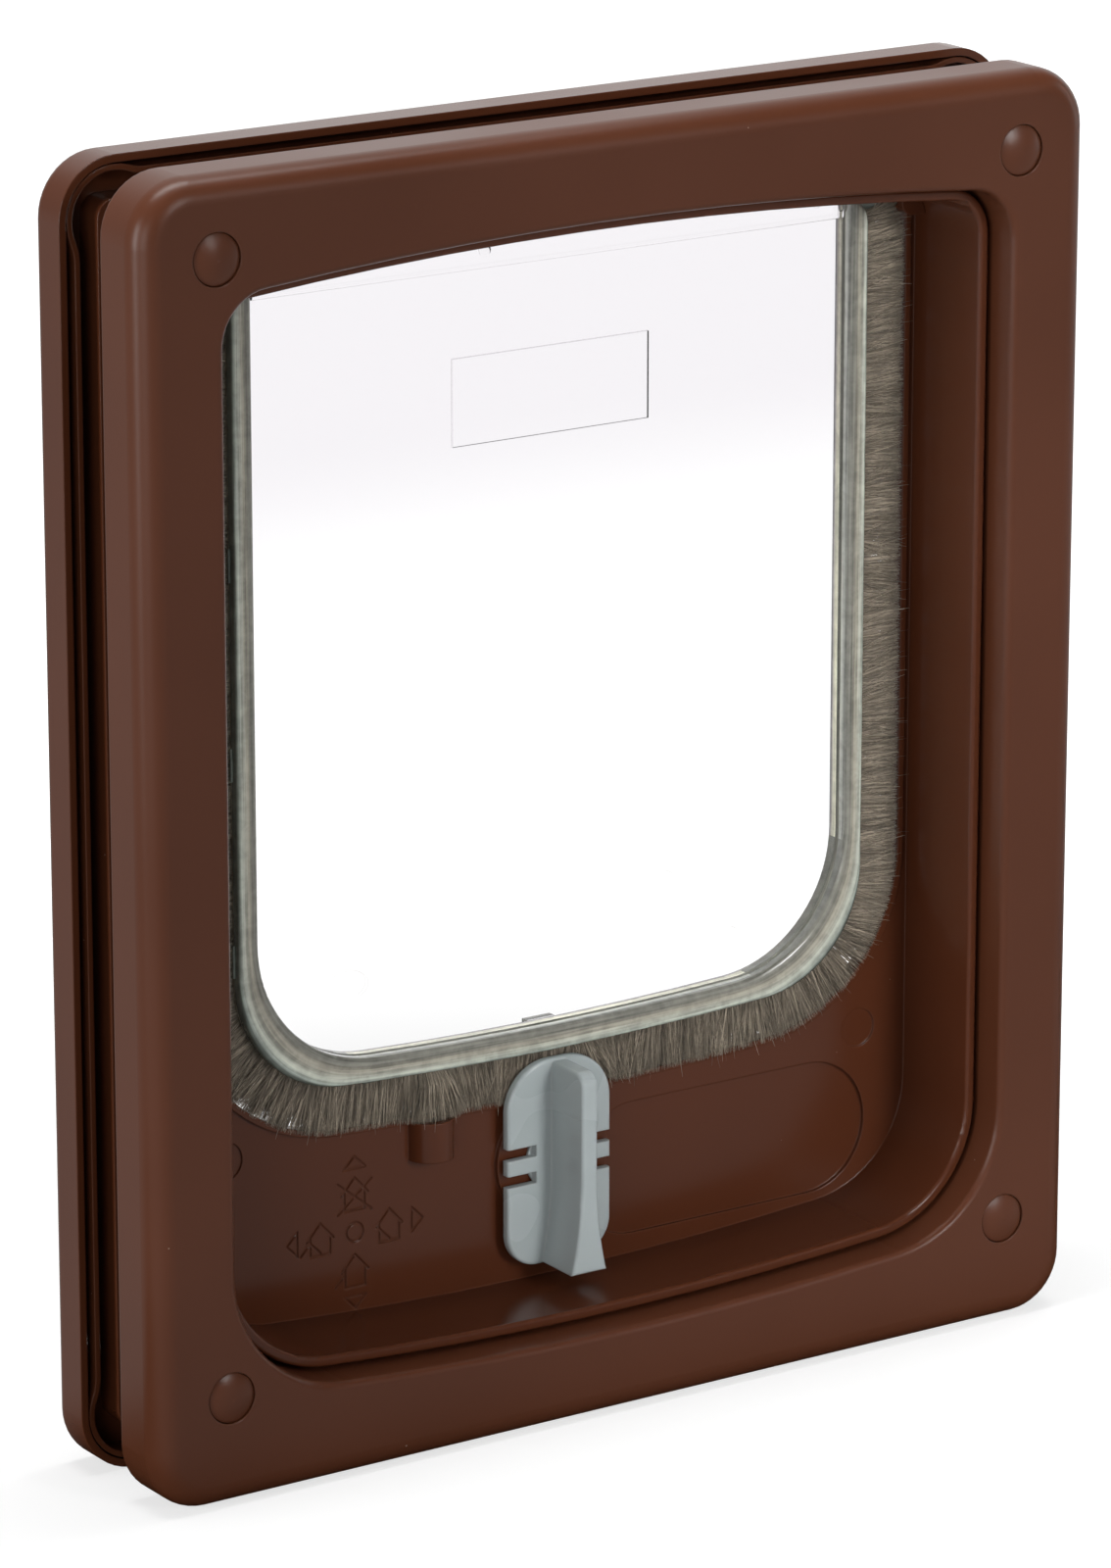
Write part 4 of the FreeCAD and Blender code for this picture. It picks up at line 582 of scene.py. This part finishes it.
# %% Rim faces
wear(nodes["pile_retainer"], channel)
panel = nodes["flap_panel"].data
panel.materials.append(channel)
channel_slot = len(panel.materials) - 1
SLACK_ACROSS, SLACK_DEEP = 0.1, 0.05
middles = np.empty(len(panel.polygons) * 3)
panel.polygons.foreach_get("center", middles)
middles = middles.reshape(-1, 3) / MM
aside = np.abs(middles[:, 0]) + HOLE["corner"] - HOLE["half"]
low = np.hypot(middles[:, 0], middles[:, 2] - HOLE["bow_z"]) + HOLE["corner"] - BOW
outside = np.hypot(np.maximum(aside, 0), np.maximum(low, 0)) > HOLE["corner"] - SLACK_ACROSS
outside &= middles[:, 1] > PANE_REAR + SLACK_DEEP
slots = np.empty(len(middles), dtype=np.int32)
panel.polygons.foreach_get("material_index", slots)
slots[outside] = channel_slot
panel.polygons.foreach_set("material_index", slots)
print("rim faces:", int(outside.sum()), "of", len(slots))

# %% [markdown]
# ## The brush pile
# A strip of short grey-brown fibres is clamped round the flap's edge, between the clear rim and
# its retainer, and brushes the doorway as the flap swings. In the model it is a plain soft bar.
# Hair particles could cover it, but they leave no mesh, so each fibre is built as a narrow
# ribbon of three pieces that tapers to its tip. What makes pile look like pile is that
# neighbouring fibres lean together in small tufts, so their lean follows a smooth wave along
# the strip with a little chance added to each.

# %% The path that the pile follows
SIDE_X = OUTLINE["half"]
SIDE_TOP = 205.5
TOP_FUZZ = 2.8
CORNER_R = OUTLINE["corner"]
CORNER_X = SIDE_X - CORNER_R
CORNER_Z = 86.2
BOW_HALF = 3.4
SPLIT = 49.0
STEP = 0.25


def line_down(x, top, low, outward):
    """Points and outward directions along an upright line."""
    up = np.arange(top, low, -STEP if top > low else STEP)
    return np.column_stack((np.full_like(up, x), up)), np.tile((outward, 0.0), (len(up), 1))


def arc(x, z, radius, start, stop):
    """Points and outward directions along an arc, in degrees from +X towards +Z."""
    count = max(2, int(abs(math.radians(stop - start)) * radius / STEP))
    angle = np.radians(np.linspace(start, stop, count, endpoint=False))
    out = np.column_stack((np.cos(angle), np.sin(angle)))
    return np.array((x, z)) + radius * out, out


def path_of(*stretches):
    """One path from several stretches."""
    return [np.vstack(part) for part in zip(*stretches)]


main_path = path_of(
    line_down(-SIDE_X, SIDE_TOP + TOP_FUZZ, CORNER_Z, -1.0),
    arc(-CORNER_X, CORNER_Z, CORNER_R, 180, 270 - BOW_HALF),
    arc(0, OUTLINE["bow_z"], BOW, 270 - BOW_HALF, 270 + BOW_HALF),
    arc(CORNER_X, CORNER_Z, CORNER_R, 270 + BOW_HALF, 270 + SPLIT))
side_path = path_of(
    arc(CORNER_X, CORNER_Z, CORNER_R, 270 + SPLIT, 360),
    line_down(SIDE_X, CORNER_Z, SIDE_TOP + TOP_FUZZ, 1.0))
print("pile paths:", [round(len(path[0]) * STEP) for path in (main_path, side_path)], "mm")

# %% [markdown]
# ### Growing the fibres
# All fibres of a strip are worked out at once, as arrays: a root, a direction, a length and a
# lean for each. Working in arrays instead of a loop keeps some forty-five thousand fibres
# quick. The chance is drawn from a seeded generator, so every run grows the same pile.

# %% Fibre maker
FACE_Y = -16.95
BEHIND = 26.0
FIBRES_PER_MM = 112
WIDTH = 0.15
ROWS = ((0.0, 1.0), (0.4, 1.0), (0.75, 0.8), (1.0, 0.25))
PER_FIBRE = 2 * len(ROWS)
ROOT_DEEP = 2.0
REACH, LONGEST = 9.3, 9.55
LEAN_SLOW, LEAN_TUFT, LEAN_EACH = 0.17, 0.2, 0.11
KNOB_SIDE, PART_WIDE, PART_LEAN = 8.0, 4.0, 0.42
STRAYS = 0.004
END_RISE, END_LEAN = 6.0, 0.5
COVER, COVER_AT, COVER_WIDE = 2.1, -26.0, 4.6


def wave(rng, count, length):
    """A smooth random curve along a path of that many points, about -1 to 1."""
    knots = rng.normal(0, 0.6, int(count * STEP / length) + 4)
    return np.interp(np.arange(count) * STEP / length, np.arange(len(knots)), knots)


def grow(name, path, seed):
    """A strip of pile fibres along a path, as one mesh of narrow ribbons."""
    rng = np.random.default_rng(seed)
    points, outward = path
    total = int(len(points) * STEP * FIBRES_PER_MM)
    spot = rng.integers(0, len(points), total)
    along = np.column_stack((-outward[:, 1], outward[:, 0]))
    lean = (LEAN_SLOW * wave(rng, len(points), 7.0)
            + LEAN_TUFT * wave(rng, len(points), 1.3))[spot]
    lean += rng.normal(0, LEAN_EACH, total)
    at_end = np.clip((points[spot, 1] - SIDE_TOP - TOP_FUZZ + END_RISE) / END_RISE, 0, 1)
    lean += END_LEAN * at_end ** 2 * np.sign(outward[spot, 0])
    beside = points[spot, 0]
    low = points[spot, 1] < CORNER_Z - CORNER_R + 1
    parted = low * np.exp(-((np.abs(beside) - KNOB_SIDE) / PART_WIDE) ** 2)
    lean += PART_LEAN * np.sign(beside) * parted
    reach = REACH + 0.25 * wave(rng, len(points), 4.0)[spot] + rng.normal(0, 0.25, total)
    reach = np.minimum(reach, LONGEST)
    layer = rng.uniform(-1, 1, total)
    cover = COVER * low * (layer < 0) * np.exp(-((beside - COVER_AT) / COVER_WIDE) ** 4)
    spread = 0.16 * wave(rng, len(points), 5.0)[spot] + 0.45 * layer
    stray = rng.random(total) < STRAYS
    reach = np.where(stray, reach + rng.uniform(0.4, 1.8, total), reach)
    spread = np.where(stray, -rng.uniform(1.0, 2.4, total), spread)
    out = np.cos(lean)[:, None] * outward[spot] + np.sin(lean)[:, None] * along[spot]
    side = np.cos(lean)[:, None] * along[spot] - np.sin(lean)[:, None] * outward[spot]
    twist = rng.uniform(-1.1, 1.1, total)
    droop = rng.normal(0, 0.35, total)
    rows = []
    for share, thick in ROWS:
        far = -ROOT_DEEP + share * (reach + ROOT_DEEP)
        flat = points[spot] + far[:, None] * out + (droop * share ** 2)[:, None] * side
        deep = BEHIND + 0.55 * layer + spread * share ** 2 - cover * min(1.0, share * 2.5)
        middle = np.column_stack((flat[:, 0], deep + FACE_Y, flat[:, 1]))
        across = np.column_stack((side[:, 0] * np.cos(twist), np.sin(twist),
                                  side[:, 1] * np.cos(twist)))
        rows += [middle - across * WIDTH * thick / 2, middle + across * WIDTH * thick / 2]
    corners = np.stack(rows, axis=1).reshape(-1, 3) * MM
    first = np.arange(total)[:, None] * PER_FIBRE
    quads = np.concatenate([first + np.array((k, k + 1, k + 3, k + 2)) for k in (0, 2, 4)])
    mesh = bpy.data.meshes.new(name)
    mesh.from_pydata(corners.tolist(), [], quads.tolist())
    mesh.update()
    shade = np.repeat(rng.random(total), PER_FIBRE)
    root = np.tile(np.repeat([share for share, thick in ROWS], 2), total)
    chart = mesh.uv_layers.new(name="fibre")
    corner = np.empty(len(mesh.loops), dtype=np.int32)
    mesh.loops.foreach_get("vertex_index", corner)
    chart.data.foreach_set("uv", np.column_stack((shade, root))[corner].ravel())
    strip = bpy.data.objects.new(name, mesh)
    bpy.context.collection.objects.link(strip)
    print(name, total, "fibres,", len(quads) * 2, "triangles")
    return strip


# %% [markdown]
# ### The pile's finish
# The fibres are dull grey-brown. They differ from one to the next and are darker at the root,
# where less light reaches. Both are read from the fibre itself: its chart holds a tone drawn by
# chance in one direction, and the way from root to tip in the other. A slow noise adds dark and
# light tufts, and a faint sheen runs along them all.

# %% Pile finish
pile_finish, tree = finish_material("pile_fibre")
where = add(tree, "TexCoord").outputs
chart = add(tree, "SeparateXYZ", {0: where["UV"]}).outputs
strand = maths(tree, "POWER", chart["X"], 1.4)
tuft = ramp(tree, noise(tree, where["Object"], 330.0, 2.0, 0.5), 0.3, 0.7)
colour = blend_colours(tree, strand, (0.085, 0.067, 0.047, 1), (0.46, 0.39, 0.30, 1))
colour = blend_colours(tree, maths(tree, "MULTIPLY", tuft, 0.45), colour, (0.12, 0.10, 0.075, 1))
colour = blend_colours(tree, ramp(tree, chart["Y"], 0.1, 0.5, 0.4, 0.0), colour,
                       (0.06, 0.05, 0.038, 1))
shader = add(tree, "BsdfPrincipled", {"Base Color": colour, "Roughness": 0.7,
                                      "Specular IOR Level": 0.3, "Sheen Weight": 0.15})
add(tree, "OutputMaterial", {"Surface": shader.outputs[0]})
print("pile finish", pile_finish.name)

# %% [markdown]
# ### The pile's backing
# The fibres are woven into a narrow pale tape, and the clear rim clamps that tape. Seen through
# the rim it gives the rim its pale body. It is a band swept along the same path, and a fine
# noise across it stands for the weave.

# %% Backing tape
TAPE_FROM, TAPE_TO = -2.6, -0.15
TAPE_FRONT, TAPE_REAR = 25.25, 26.35


def weave_tape(name, path):
    """A flat closed band along a path, inside the rim's slot."""
    points, outward = path
    rings = []
    for far, deep in ((TAPE_FROM, TAPE_FRONT), (TAPE_TO, TAPE_FRONT),
                      (TAPE_TO, TAPE_REAR), (TAPE_FROM, TAPE_REAR)):
        flat = points + far * outward
        rings.append(np.column_stack((flat[:, 0], np.full(len(flat), deep + FACE_Y),
                                      flat[:, 1])))
    every = slice(None, None, 4)
    corners = np.stack([ring[every] for ring in rings], axis=1).reshape(-1, 3) * MM
    count = len(corners) // 4
    quads = [(4 * k + a, 4 * k + (a + 1) % 4, 4 * k + 4 + (a + 1) % 4, 4 * k + 4 + a)
             for k in range(count - 1) for a in range(4)]
    quads += [(0, 1, 2, 3), tuple(4 * count - 1 - a for a in range(4))]
    mesh = bpy.data.meshes.new(name)
    mesh.from_pydata(corners.tolist(), [], quads)
    tape = bpy.data.objects.new(name, mesh)
    bpy.context.collection.objects.link(tape)
    print(name, count, "rings")
    return tape


tape_finish, tree = finish_material("backing_tape")
here = add(tree, "TexCoord").outputs["Object"]
thread = ramp(tree, noise(tree, here, 1400.0, 1.0, 0.5), 0.3, 0.7)
colour = blend_colours(tree, thread, (0.46, 0.45, 0.37, 1), (0.66, 0.65, 0.56, 1))
shader = add(tree, "BsdfPrincipled", {"Base Color": colour, "Roughness": 0.6})
add(tree, "OutputMaterial", {"Surface": shader.outputs[0]})
print("tape finish", tape_finish.name)

# %% Grow both strips
for name, node, path, seed in (("pile_main_fibres", "pile_strip_main", main_path, 4),
                               ("pile_side_fibres", "pile_strip_side", side_path, 9)):
    strip = grow(name, path, seed)
    strip.data.materials.append(pile_finish)
    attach(strip, "flap")
    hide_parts(node)
    tape = weave_tape(name.replace("fibres", "tape"), path)
    tape.data.materials.append(tape_finish)
    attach(tape, "flap")
